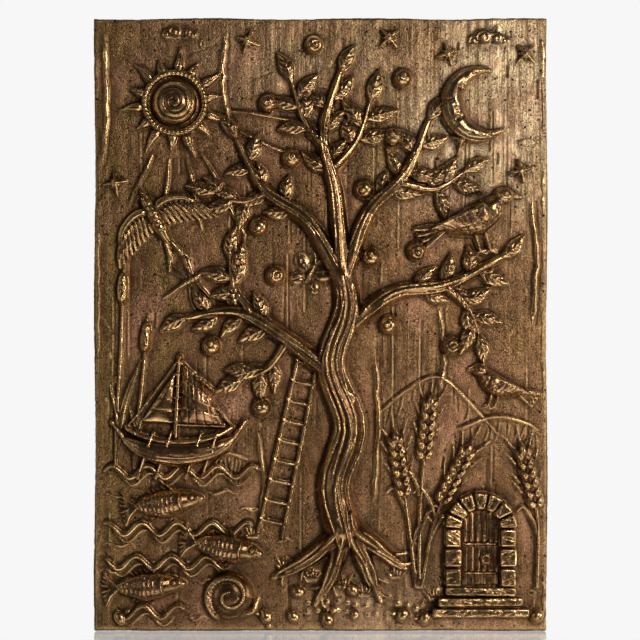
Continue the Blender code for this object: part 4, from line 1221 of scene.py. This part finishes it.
def drawnLines():
    # low lines laid on the open ground: hills, clouds, ripples, tufts of grass and a paved way
    draw = random.Random(31)
    spec = groundSpec
    for shares in spec["hills"]:
        line = path(shares, 24)
        roll(line, uneven(draw, 0.0010, 0.0017, 0.0026, 6), spec["hillHeight"], 0.3)
        score(shifted(line, 0.0020), (0.0005, 0.0006))
        for k in range(3, 22, 2):       # furrows down the slope
            start = line[k] - Vector((0, 0.0035))
            end = start + Vector((draw.uniform(-0.004, 0.001), -draw.uniform(0.006, 0.014)))
            score([start, start.lerp(end, 0.5) + Vector((0.0006, 0)), end], (0.00055, -0.00055))
            score([start + Vector((-0.0012, 0)), end + Vector((-0.0012, 0))], (0.00045, 0.00045))
    for u, v, size in spec["clouds"]:
        for x, y, radius in spec["cloudLumps"]:
            middle = spot(u, v) + Vector((x, y)) * size
            boss(middle, radius * size, spec["cloudHeight"], 0, 1.25)
            curl = []
            for angle in range(0, 241, 20):
                curl.append(middle + direction(radians(210 - angle)) * radius * size * (0.66 - angle / 700))
            engrave(curl, (0.00050, 0.0007))
    for u, v, length in spec["ripples"]:
        line = [spot(u, v) + Vector((length * t, 0.0013 * sin(9 * t + u * 20))) for t in fifths]
        roll(smoothLine(line, 14), spec["rippleWidth"], spec["rippleHeight"], 0.3)
    for u, v in spec["tufts"]:
        for k in range(6):
            lean, length = (k - 2.5) * 0.24 + draw.uniform(-0.1, 0.1), draw.uniform(0.006, 0.0125)
            root = spot(u, v) + Vector((0.0011 * (k - 2.5), 0))
            tip = root + Vector((sin(lean), cos(lean))) * length
            blade = smoothLine([root, root.lerp(tip, 0.5) - Vector((lean * 0.0016, 0)), tip], 6)
            roll(blade, spec["grassWidth"], spec["grassHeight"], 0.3, 7)
    for point in path(spec["way"], 15)[1:-1]:
        for side in (-1, 1):
            at = point + Vector((draw.uniform(-0.0006, 0.0006), side * 0.0030))
            boss(at, draw.uniform(0.0018, 0.0024), 0.0012, 0, 1.25, draw.uniform(-0.4, 0.4), 2)


def seams():
    draw = random.Random(8)
    for shares in groundSpec["seams"]:
        line = path(shares, 18)
        for point in line[1:-1]:
            point.x += draw.uniform(-0.0007, 0.0007)
        roll(line, uneven(draw, 0.0012, 0.0022, 0.0040, 7), uneven(draw, 0.0006, 0.0011, 0.0021, 7), 0.1)
        score(shifted(line, 0.0026), (0.0006, 0.0007))
    for side, low, high in groundSpec["lips"]:
        line = [spot(side * 0.978, low + (high - low) * k / 12) for k in range(13)]
        for point in line:
            point.x += draw.uniform(-0.0010, 0.0007)
        roll(line, uneven(draw, 0.0008, 0.0012, 0.0038, 8), uneven(draw, 0.0003, 0.0003, 0.0012, 8), 0.1)
    for i in range(groundSpec["scraps"]):       # scraps of wax near the rim
        far = draw.uniform(-0.95, 0.95)
        near = draw.uniform(0.88, 0.962)
        at = spot(*((far, -near), (near, far), (far, near), (-near, far))[i % 4])
        size = draw.uniform(0.0012, 0.0034)
        boss(at, size, size * draw.uniform(0.2, 0.4), 0, draw.uniform(1, 2.2), draw.uniform(0, pi))


def toolGround():
    # grooves, slots, pits and thumb marks in the open ground
    draw = random.Random(12)
    spec = groundSpec

    def anywhere(reach):
        return spot(draw.uniform(-reach, reach), draw.uniform(-reach, reach))

    for i in range(spec["gouges"]):
        at = anywhere(0.97)
        length, lean = draw.uniform(0.004, 0.030), draw.uniform(-0.04, 0.04)
        line = [at + Vector((lean * length * t, length * t)) for t in (-0.5, 0, 0.5)]
        width = draw.uniform(0.00035, 0.00065)
        score(line, (width, draw.uniform(0.0002, 0.0007) * draw.choice((1, 1, 1, -1))))
    for i in range(spec["scores"]):      # long lines drawn with a point
        at, lean = spot(draw.uniform(-0.95, 0.95), draw.uniform(-0.9, 0.6)), draw.uniform(-0.0007, 0.0007)
        length = draw.uniform(0.030, 0.110)
        line = [at + Vector((lean * t, length * t)) for t in (0, 0.3, 0.7, 1)]
        score(line, (0.00050, draw.uniform(0.0004, 0.0008)))
        score(shifted(line, 0.0012), (0.00045, -0.0004))
    for i in range(spec["slots"]):
        at = anywhere(0.95)
        if i < spec["brightSlots"]:
            at = spot(draw.uniform(0.35, 0.97), draw.uniform(0.45, 0.97))
        length = draw.uniform(0.005, 0.014)
        score([at, at + Vector((0.0002, length))], (0.0008, 0.0012))
        score([at + Vector((0.0016, 0)), at + Vector((0.0017, length))], (0.0006, -0.0005))
    for i in range(spec["pits"]):
        at = anywhere(0.98)
        if i % 3 == 0:
            at = spot(draw.uniform(0.3, 0.98), draw.uniform(0.3, 0.98))
        dent(groundMarks, at, draw.uniform(0.0003, 0.0007), draw.uniform(0.0003, 0.0008))
    for i in range(spec["presses"]):
        at, radius, depth = anywhere(1), draw.uniform(0.003, 0.010), draw.uniform(-0.0005, 0.0007)
        dent(groundMarks, at, radius, depth, draw.uniform(1, 2.2), pi / 2 + draw.uniform(-0.4, 0.4))
    for i in range(spec["swells"]):      # broad soft mounds and hollows
        at, radius = anywhere(0.9), draw.uniform(0.009, 0.020)
        depth = draw.uniform(0.0004, 0.0009) * draw.choice((-1, 1))
        dent(groundMarks, at, radius, depth, draw.uniform(1, 2.4), pi / 2 + draw.uniform(-0.7, 0.7))
    for i in range(spec["scratches"]):
        at = anywhere(0.95)
        way = direction(draw.uniform(0.2, 1.2) + (pi / 2 if i % 3 == 0 else 0)) * draw.uniform(0.003, 0.012)
        score([at - way, at + way], (0.00035, draw.uniform(0.0002, 0.0005)))


def combed():
    # how strongly the ground is combed: most at the upper right, along the top and at the left and right rims
    strength = 0.14 + 0.16 * grain(3, 0.016, 0.030)
    strength += 0.7 * np.exp(-((shareX - 0.75) ** 2 + (shareY - 0.75) ** 2) / 0.18)
    strength += 0.35 * np.exp(-((shareY - 0.95) ** 2) / 0.03) + 0.30 * np.exp(-((shareX - 0.93) ** 2) / 0.02)
    strength += 0.4 * np.exp(-((shareX + 0.95) ** 2) / 0.02)
    return np.clip(strength, 0.04, 1.15)


def combField():
    # vertical comb lines
    fine, broad = grain(1, 0.00075, 0.045), grain(2, 0.0020, 0.060)
    return groundSpec["combDepth"] * combed() * (np.tanh(fine * 1.1) * 0.42 + broad * 0.26)


# The plate itself

def plate():
    # the cast plate: a flat back and edges that waver a little within its size
    spec = plateSpec
    bm = bmesh.new()
    corners = [Vector(corner) for corner in ((-1, -1), (1, -1), (1, 1), (-1, 1))]
    points = []
    for corner, after in zip(corners, corners[1:] + corners[:1]):
        for i in range(spec["edgeSteps"]):
            u, v = corner.lerp(after, i / spec["edgeSteps"])
            at = spot(u, v)
            if abs(u) == 1:
                at.x -= u * spec["edgeWave"] * (0.5 + 0.5 * sin(7 * v + 2 * u))
            if abs(v) == 1:
                at.y -= v * spec["edgeWave"] * (0.5 + 0.5 * sin(9 * u + 3 * v)) * (1 if v > 0 else 0.3)
            points.append(at)
    face = bm.faces.new([bm.verts.new((point.x, point.y, 0)) for point in points])
    made = bmesh.ops.extrude_face_region(bm, geom=[face], use_keep_orig=True)["geom"]
    for vert in onlyVerts(made):
        vert.co.z = spec["thickness"] - spec["edgeDrop"]
    front = [item for item in made if isinstance(item, bmesh.types.BMFace)]
    bmesh.ops.inset_region(bm, faces=front, thickness=spec["edgeBand"], use_even_offset=True)
    for vert in {vert for face in front for vert in face.verts}:
        vert.co.z = spec["thickness"]
    press(bm)


# One skin over each group

skinSpec = {
    "groups": {
        # the forms of each group, the size of its voxels and its triangles
        "treeRelief": ([tree], 0.00046, 196000),
        "skyRelief": ([sun, moon], 0.00044, 110000),
        "birdRelief": ([birds], 0.00042, 110000),
        "waterRelief": ([water, shell, boat, reeds], 0.00046, 190000),
        "landRelief": ([ladder, corn, gateway, pebbles, seams, drawnLines], 0.00046, 180000),
        "castPlate": ([plate], 0.00070, 196000),
    },
    "smoothing": 2,
    "formComb": 0.15,        # the share of the comb that is on the forms too
    "lumps": 0.00016,
    "coarse": 0.00007,
    "fillet": 0.0011,        # how far the ground rises to the foot of a form
    "moat": 0.0007,          # how far it is pressed down round a form
    "rimDrop": 0.0016,
    "sideChatter": 0.00022,
    "backChatter": 0.00025,
}


def castForms(name):
    # the skin of a group's forms
    global casting
    casting = bmesh.new()
    makers, voxel = skinSpec["groups"][name][:2]
    for maker in makers:
        maker()
    rough = bpy.data.meshes.new(name)
    casting.to_mesh(rough)
    casting.free()
    mesh = shownMesh(rough, "REMESH", mode="VOXEL", voxel_size=voxel, use_smooth_shade=True)
    mesh = shownMesh(mesh, "SMOOTH", factor=0.5, iterations=skinSpec["smoothing"])
    print(name, "skin:", len(mesh.vertices), "points")
    return mesh


def shownMesh(mesh, kind, **settings):
    # the mesh as a modifier of this kind leaves it
    holder = bpy.data.objects.new("holder", mesh)
    bpy.context.scene.collection.objects.link(holder)
    added = holder.modifiers.new(kind, kind)
    for name, value in settings.items():
        setattr(added, name, value)
    bpy.context.view_layer.update()
    made = bpy.data.meshes.new_from_object(holder.evaluated_get(bpy.context.evaluated_depsgraph_get()))
    bpy.data.objects.remove(holder)
    return made


def readRows(items, name, count):
    # a mesh's values as an array of rows
    values = np.empty(len(items) * count, np.float32)
    items.foreach_get(name, values)
    return values.reshape(-1, count)


def readMesh(mesh):
    return readRows(mesh.vertices, "co", 3), readRows(mesh.vertex_normals, "vector", 3)


def writePoints(mesh, points):
    mesh.vertices.foreach_set("co", points.ravel())
    mesh.update()


def sampled(field, points):
    # a field read between its cells at these points
    x = np.clip((points[:, 0] - cellX[0]) / cell, 0, columns - 1.001)
    y = np.clip((points[:, 1] - cellY[0]) / cell, 0, rows - 1.001)
    i, j = x.astype(int), y.astype(int)
    s, t = x - i, y - j
    low = field[j, i] * (1 - s) + field[j, i + 1] * s
    high = field[j + 1, i] * (1 - s) + field[j + 1, i + 1] * s
    return low * (1 - t) + high * t


def heightsOf(mesh, start):
    # the height of the mesh over every cell, where it stands above what is there already
    points = readMesh(mesh)[0]
    corners = np.empty(len(mesh.loops), np.int32)
    mesh.loops.foreach_get("vertex_index", corners)
    corners = corners.reshape(-1, 4)
    sides = [(points[corners[:, k]] + points[corners[:, k - 1]]) / 2 for k in range(4)]
    points = np.concatenate([points, points[corners].mean(1), *sides])
    i = np.clip(((points[:, 0] - cellX[0]) / cell).round().astype(int), 0, columns - 1)
    j = np.clip(((points[:, 1] - cellY[0]) / cell).round().astype(int), 0, rows - 1)
    cells = start.copy()
    np.maximum.at(cells, (j, i), points[:, 2])
    return cells


def tooled(mesh, field):
    # moves the points along their normals by the field, where they face out of the front
    points, normals = readMesh(mesh)
    facing = np.clip(normals[:, 2:3] * 1.6 - 0.25, 0, 1)
    moved = points + normals * facing * sampled(field, points)[:, None]
    half = np.array([plateSpec["width"] / 2, plateSpec["height"] / 2])
    moved[:, :2] = np.clip(moved[:, :2], -half, half)
    moved[:, 2] = np.clip(moved[:, 2], 0, plateSpec["tallest"] - 0.0001)
    writePoints(mesh, moved)


def roughEdges(mesh):
    # the marks of the casting on the plate's sides and back, always inwards
    points, normals = readMesh(mesh)
    sides = (np.abs(normals[:, 2]) < 0.5) & (points[:, 2] < plateSpec["thickness"])
    chatter = np.abs(sampled(skinSpec["sideChatter"] * grain(7, 0.0016, 0.0016), points))
    points[sides] -= normals[sides] * chatter[sides][:, None]
    behind = normals[:, 2] < -0.5
    points[behind, 2] += np.abs(sampled(skinSpec["backChatter"] * grain(9, 0.004, 0.004), points))[behind]
    writePoints(mesh, points)


def thinned(mesh, name):
    ratio = skinSpec["groups"][name][-1] / (len(mesh.polygons) * 2)
    if ratio < 1:
        mesh = shownMesh(mesh, "DECIMATE", ratio=ratio, use_collapse_triangulate=True)
    low, high = (plateLow.x, plateLow.z, 0), (plateHigh.x, plateHigh.z, -plateLow.y)
    mesh.vertices.foreach_set("co", np.clip(readMesh(mesh)[0], low, high).ravel())
    print(name, "thinned to", len(mesh.polygons), "triangles")
    return mesh


def castAll():
    spec = skinSpec
    lumps = spec["lumps"] * grain(5, 0.0035, 0.0050)
    meshes = {name: castForms(name) for name in spec["groups"]}
    toolGround()
    height = np.zeros((rows, columns))
    for name, mesh in meshes.items():
        if name != "castPlate":
            tooled(mesh, formMarks + spec["formComb"] * combField() + lumps)
            height = heightsOf(mesh, height)
    raised = blurred((height > plateSpec["thickness"] + 0.0008).astype(float), 0.00030, 0.00030)
    skirt = np.clip(blurred(raised, 0.0011, 0.0011) * 2, 0, 1) ** 2 * spec["fillet"]
    moat = np.clip(blurred(raised, 0.0035, 0.0035) * 2, 0, 1) * spec["moat"]
    coarse = spec["coarse"] * grain(4, 0.0013, 0.0016)
    plain = groundMarks + combField() + coarse + lumps + skirt - moat
    roughEdges(meshes["castPlate"])
    tooled(meshes["castPlate"], plain)
    rim = np.maximum(np.abs(shareX), np.abs(shareY)) > plateSpec["rim"]
    plain = plateSpec["thickness"] + plain - spec["rimDrop"] * rim
    height = blurred(np.maximum(plain, height), 0.00028, 0.00028)
    return {name: thinned(mesh, name) for name, mesh in meshes.items()}, height, raised


# Patina, with painted shadow and painted light

patinaSpec = {
    "dark": (0.030, 0.015, 0.008),
    "deep": (0.105, 0.052, 0.022),
    "brown": (0.140, 0.070, 0.032),
    "russet": (0.235, 0.103, 0.046),
    "bronze": (0.300, 0.150, 0.062),
    "gold": (0.760, 0.480, 0.205),
    "cream": (1.000, 0.750, 0.425),
    "copper": (0.470, 0.222, 0.122),
    "mauve": (0.400, 0.250, 0.180),
    "rose": (0.640, 0.330, 0.200),
    "olive": (0.230, 0.140, 0.035),
    "roughness": (0.36, 0.52),
    "smoother": 0.18,        # on the forms
    "duller": 0.12,          # in the hollows
    "bumpStrength": 0.55,
    "bumpDistance": 0.0006,
    "pinHoles": (150, 0.18),         # cells in a metre, and the largest radius as a share of a cell
    "paleRubsAndLightPool": [
        # place, half width and half height of each part that is rubbed pale, and how strongly; the strong
        # part at the upper right is also painted light, a pool of light from the key
        (0.78, 0.74, 0.35, 0.26, 1.60),
        (-0.25, 0.86, 0.42, 0.16, 0.16),
        (0.30, -0.93, 0.30, 0.10, 0.30),
    ],
    "patterns": {
        # scale, detail, roughness and stretch of each noise
        "cloud": (38, 4, 0.6),
        "veil": (52, 3, 0.6),
        "rose": (58, 4, 0.6),
        "streak": (60, 3, 0.65, (13, 13, 0.28)),
        "blotch": (75, 5, 0.65),
        "mauve": (105, 4, 0.6),
        "mottle": (210, 5, 0.7),
        "sand": (800, 2, 0.6),
        "speck": (1400, 1, 0.4),
    },
    "layers": [
        # colour, where it lies, its noise, and that noise's range and the strength at each end,
        # or one strength in place of the noise
        ("bronze", "everywhere", "cloud", 0.35, 0.65),
        ("russet", "everywhere", "blotch", 0.44, 0.62, 0, 0.75),
        ("gold", "combed", "streak", 0.52, 0.66, 0, 0.55),
        ("olive", "olive", "mottle", 0.3, 0.6, 0.3, 0.9),
        ("copper", "copper", "mottle", 0.3, 0.6, 0.3, 1.0),
        # cream where the bronze is rubbed; at the upper right it also paints a pool of light
        ("cream", "scrape", "streak", 0.30, 0.6, 0.35, 1.0),
        ("mauve", "scrape", "mauve", 0.48, 0.62, 0, 0.60),
        ("rose", "rosy", "rose", 0.50, 0.62, 0, 0.60),
        ("deep", "raised", 0.55),
        ("gold", "crest", "sand", 0.30, 0.6, 0.6, 1.0),
        ("brown", "everywhere", "mottle", 0.52, 0.75, 0, 0.45),
        ("deep", "combed", "streak", 0.44, 0.36, 0, 0.55),
        ("brown", "ground", "sand", 0.50, 0.62, 0, 0.70),
        ("dark", "patinated", "speck", 0.50, 0.64, 0, 0.75),
        ("gold", "ground", "speck", 0.44, 0.34, 0, 0.45),
        ("dark", "holes", 1.0),
        # the dark of the recesses: patina, with painted shadow on the upper left of the forms
        ("dark", "hollow", 0.88),
    ],
}


def patchAt(x, y, wide, tall):
    return np.exp(-(((shareX - x) / wide) ** 2 + ((shareY - y) / tall) ** 2))


def wearAndPaintedLightFields(height, raised):
    # where the patina has gathered, with painted shadow added on the upper left of the forms; where it is
    # rubbed off, which at the upper right is also a painted pool of light; and the patches of other tones
    near, wide = blurred(height, 0.0008, 0.0008), blurred(height, 0.0028, 0.0028)
    across, up = np.gradient(wide)[::-1]
    # painted shadow: how far a place lies on the upper left side of a form, where the key light's shadow
    # falls
    shaded = (0.8 * across - 0.55 * up) / (np.hypot(across, up) + 0.00002)      # the upper left of a form
    hollow = np.clip((wide - height) / 0.0024, 0, 1) * 0.50 + np.clip((near - height) / 0.00034, 0, 1) * 0.85
    crest = np.clip((height - near) / 0.00024, 0, 1) * 0.70 + np.clip((height - wide) / 0.0030, 0, 1) * 0.12
    cloud, patch, streak = grain(21, 0.010, 0.014), grain(22, 0.006, 0.009), grain(23, 0.0009, 0.030)
    right, top, low = [strength * patchAt(*place) for *place, strength in patinaSpec["paleRubsAndLightPool"]]
    # the pale rubs, which at the upper right also paint a pool of light
    scrape = np.clip((right + top + low) * (1.0 + 0.35 * streak + 0.25 * cloud), 0, 1)
    olive = np.clip(np.exp(-((shareX + 0.93) / 0.10) ** 2) * (0.8 + 0.3 * streak), 0, 1)
    return {
        # dark patina in the recesses, made darker on the upper left of the forms as painted shadow
        "hollow": hollow * (0.72 + 0.35 * shaded),
        "crest": crest * np.clip(0.95 + 0.22 * grain(25, 0.0022, 0.0022), 0.3, 1.3),
        "scrape": scrape * (1 - 0.6 * raised),
        "copper": np.clip(patch * 0.5 - 0.12, 0, 1) * np.clip(1.2 - right, 0, 1),
        "olive": np.maximum(olive, np.clip(grain(24, 0.004, 0.05) * 0.4 - 0.2, 0, 1) * (shareY > -0.2)),
        "raised": raised,
        "combed": combed() * (1 - 0.9 * raised),
    }


def paintAttributes(mesh, fields):
    points, normals = readMesh(mesh)
    front = np.clip(normals[:, 2] * 4 + 1.2, 0, 1)
    for name, field in fields.items():
        values = np.clip(sampled(field, points), 0, 1) * front
        mesh.attributes.new(name, "FLOAT", "POINT").data.foreach_set("value", values.astype(np.float32))


def wired(tree, kind, sockets, **settings):
    # a new shader node with these settings, its sockets set to a value or fed by another node's output
    node = tree.nodes.new("ShaderNode" + kind)
    for name, value in settings.items():
        setattr(node, name, value)
    for name, value in sockets.items():
        if isinstance(value, bpy.types.NodeSocket):
            tree.links.new(value, node.inputs[name])
        else:
            node.inputs[name].default_value = value
    return node.outputs


def scaled(tree, value, low, high, toLow=0.0, toHigh=1.0, **settings):
    sockets = {"Value": value, "From Min": low, "From Max": high, "To Min": toLow, "To Max": toHigh}
    return wired(tree, "MapRange", sockets, **settings)["Result"]


def bronzeMaterial():
    made = bpy.data.materials.new("agedBronze")
    made.use_nodes = True
    tree, spec = made.node_tree, patinaSpec
    shader = tree.nodes["Principled BSDF"]
    shader.inputs["Metallic"].default_value = 1.0
    place = wired(tree, "TexCoord", {})["Object"]

    def maths(operation, a, b):
        return wired(tree, "Math", {0: a, 1: b}, operation=operation)["Value"]

    def product(*values):
        made = values[0]
        for value in values[1:]:
            made = maths("MULTIPLY", made, value)
        return made

    def noise(scale, detail, roughness, stretch=(1, 1, 1)):
        where = wired(tree, "Mapping", {"Vector": place, "Scale": stretch})["Vector"]
        sockets = {"Vector": where, "Scale": scale, "Detail": detail, "Roughness": roughness}
        return wired(tree, "TexNoise", sockets)["Fac"]

    def pinHoles(scale, radius):
        # a round spot of random size in every cell of a plane parallel to the plate
        where = wired(tree, "Mapping", {"Vector": place, "Rotation": (pi / 2, 0, 0)})["Vector"]
        cells = wired(tree, "TexVoronoi", {"Vector": where, "Scale": scale}, voronoi_dimensions="2D")
        return scaled(tree, maths("SUBTRACT", product(cells["Color"], radius), cells["Distance"]), 0, 0.03)

    noises = {name: noise(*values) for name, values in spec["patterns"].items()}
    where = {"everywhere": 1.0}
    for name in ("hollow", "crest", "scrape", "copper", "olive", "raised", "combed"):
        where[name] = wired(tree, "Attribute", {}, attribute_name=name)["Fac"]
    ground = maths("SUBTRACT", 1.0, product(where["raised"], 0.85))
    ground = product(ground, scaled(tree, noises["veil"], 0.38, 0.60, 0.52, 0.95))
    where["ground"] = ground
    where["rosy"] = maths("ADD", where["scrape"], product(where["copper"], 0.5))
    where["patinated"] = product(ground, maths("SUBTRACT", 1.0, product(where["scrape"], 0.3)))
    where["holes"] = product(ground, pinHoles(*spec["pinHoles"]))
    colour = (*spec["brown"], 1)
    for tone, area, strength, *reach in spec["layers"]:
        if reach:
            strength = scaled(tree, noises[strength], *reach)
        sockets = {"Factor": product(where[area], strength), "A": colour, "B": (*spec[tone], 1)}
        colour = wired(tree, "Mix", sockets, data_type="RGBA")["Result"]
    tree.links.new(colour, shader.inputs["Base Color"])
    rough = scaled(tree, noises["mottle"], 0.3, 0.7, *spec["roughness"])
    rough = maths("SUBTRACT", rough, product(where["raised"], spec["smoother"]))
    rough = maths("ADD", rough, product(where["hollow"], spec["duller"]))
    tree.links.new(rough, shader.inputs["Roughness"])
    bumps = product(ground, maths("ADD", noises["speck"], product(noises["sand"], 1.50)))
    bumps = maths("ADD", bumps, product(where["combed"], noises["streak"]))
    bumps = maths("SUBTRACT", bumps, product(where["holes"], 0.80))
    bumps = maths("ADD", bumps, product(noises["mottle"], 0.30))
    sockets = {"Height": bumps, "Strength": spec["bumpStrength"], "Distance": spec["bumpDistance"]}
    tree.links.new(wired(tree, "Bump", sockets)["Normal"], shader.inputs["Normal"])
    return made


def plaque():
    meshes, height, raised = castAll()
    fields, bronze = wearAndPaintedLightFields(height, raised), bronzeMaterial()
    for name, mesh in meshes.items():
        paintAttributes(mesh, fields)
        mesh.transform(Matrix.Rotation(pi / 2, 4, "X"))
        mesh.name = name
        mesh.shade_smooth()
        mesh.materials.clear()
        mesh.materials.append(bronze)
        made = bpy.data.objects.new(name, mesh)
        bpy.context.scene.collection.objects.link(made)
        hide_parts("relief_plaque")
        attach(made, "root")


plaque()
print("plaque patinated")


# Studio

studio = {
    "cameraDistance": 1.0335,        # from the plate's front
    "cameraHeight": 0.0031,
    "cameraSide": -0.0005,
    "lens": 85,
    "backdrop": (0.930, 0.930, 0.930),
    "behind": 0.93,
    "inFront": 0.060,
    "floorShine": 0.62,
    "floorRoughness": 0.12,
    "floorReach": 0.245,
    "floorSqueeze": 2.6,
    "lights": [
        # name, place, aim, width, height, power
        ("key", (0.70, -1.48, 0.40), (0.06, 0, 0.02), 0.24, 0.24, 10.5),
        ("side", (1.25, -0.70, -0.15), (0, 0, 0), 0.16, 0.70, 5.4),
        ("bounce", (0.15, -0.60, -0.75), (0, 0, 0), 1.30, 0.45, 4.9),
        ("fill", (-1.3, -1.1, 0.10), (0, 0, 0), 0.50, 1.00, 1.6),
    ],
}


def studioWorld():
    # a pale room, brighter behind the plaque than in front of it
    world = bpy.data.worlds.new("paleRoom")
    bpy.context.scene.world = world
    world.use_nodes = True
    tree = world.node_tree
    room = tree.nodes["Background"]
    room.inputs["Color"].default_value = (1, 1, 1, 1)
    way = wired(tree, "SeparateXYZ", {"Vector": wired(tree, "TexCoord", {})["Generated"]})["Y"]
    strength = scaled(tree, way, -0.15, 0.20, studio["inFront"], studio["behind"])
    tree.links.new(strength, room.inputs["Strength"])
    seen = wired(tree, "Background", {"Color": (*studio["backdrop"], 1)})["Background"]
    rays = wired(tree, "LightPath", {})["Is Camera Ray"]
    mix = wired(tree, "MixShader", {"Fac": rays, 1: room.outputs["Background"], 2: seen})
    tree.links.new(mix["Shader"], tree.nodes["World Output"].inputs["Surface"])


def studioFloor():
    # a pale glossy floor that fades into the backdrop away from the plaque
    bm = bmesh.new()
    bmesh.ops.create_circle(bm, cap_ends=True, segments=64, radius=studio["floorReach"])
    mesh = bpy.data.meshes.new("studioFloor")
    bm.to_mesh(mesh)
    bm.free()
    floor = bpy.data.objects.new("studioFloor", mesh)
    floor.location.z = plateLow.z - 0.0002
    bpy.context.scene.collection.objects.link(floor)
    made = bpy.data.materials.new("paleFloor")
    made.use_nodes = True
    tree = made.node_tree
    tree.nodes.remove(tree.nodes["Principled BSDF"])
    place = wired(tree, "TexCoord", {})["Object"]
    # the shine is a narrow patch under the plaque
    squeezed = wired(tree, "Mapping", {"Vector": place, "Scale": (1, studio["floorSqueeze"], 1)})["Vector"]
    away = wired(tree, "VectorMath", {0: squeezed}, operation="LENGTH")["Value"]
    near, far = plateSpec["width"] * 0.50, studio["floorReach"] * 0.95
    fade = scaled(tree, away, near, far, studio["floorShine"], 0, interpolation_type="SMOOTHSTEP")
    shine = wired(tree, "BsdfGlossy", {"Roughness": studio["floorRoughness"], "Color": (1, 1, 1, 1)})["BSDF"]
    clear = wired(tree, "BsdfTransparent", {})["BSDF"]
    mix = wired(tree, "MixShader", {"Fac": fade, 1: clear, 2: shine})
    tree.links.new(mix["Shader"], tree.nodes["Material Output"].inputs["Surface"])
    mesh.materials.append(made)


def studioLights():
    for name, place, aim, width, height, power in studio["lights"]:
        lamp = bpy.data.lights.new(name, "AREA")
        lamp.shape = "RECTANGLE"
        lamp.size, lamp.size_y, lamp.energy = width, height, power
        holder = bpy.data.objects.new(name, lamp)
        holder.location = place
        holder.rotation_euler = (Vector(aim) - Vector(place)).to_track_quat("-Z", "Y").to_euler()
        holder.visible_camera = False
        bpy.context.scene.collection.objects.link(holder)


def studioCamera():
    lens = bpy.data.cameras.new("camera")
    lens.lens = studio["lens"]
    holder = bpy.data.objects.new("camera", lens)
    away = -plateSpec["thickness"] - studio["cameraDistance"]
    holder.location = (studio["cameraSide"], away, studio["cameraHeight"])
    holder.rotation_euler = (pi / 2, 0, 0)
    bpy.context.scene.collection.objects.link(holder)
    bpy.context.scene.camera = holder


studioWorld()
studioFloor()
studioLights()
studioCamera()
bpy.context.scene.view_settings.view_transform = "Standard"
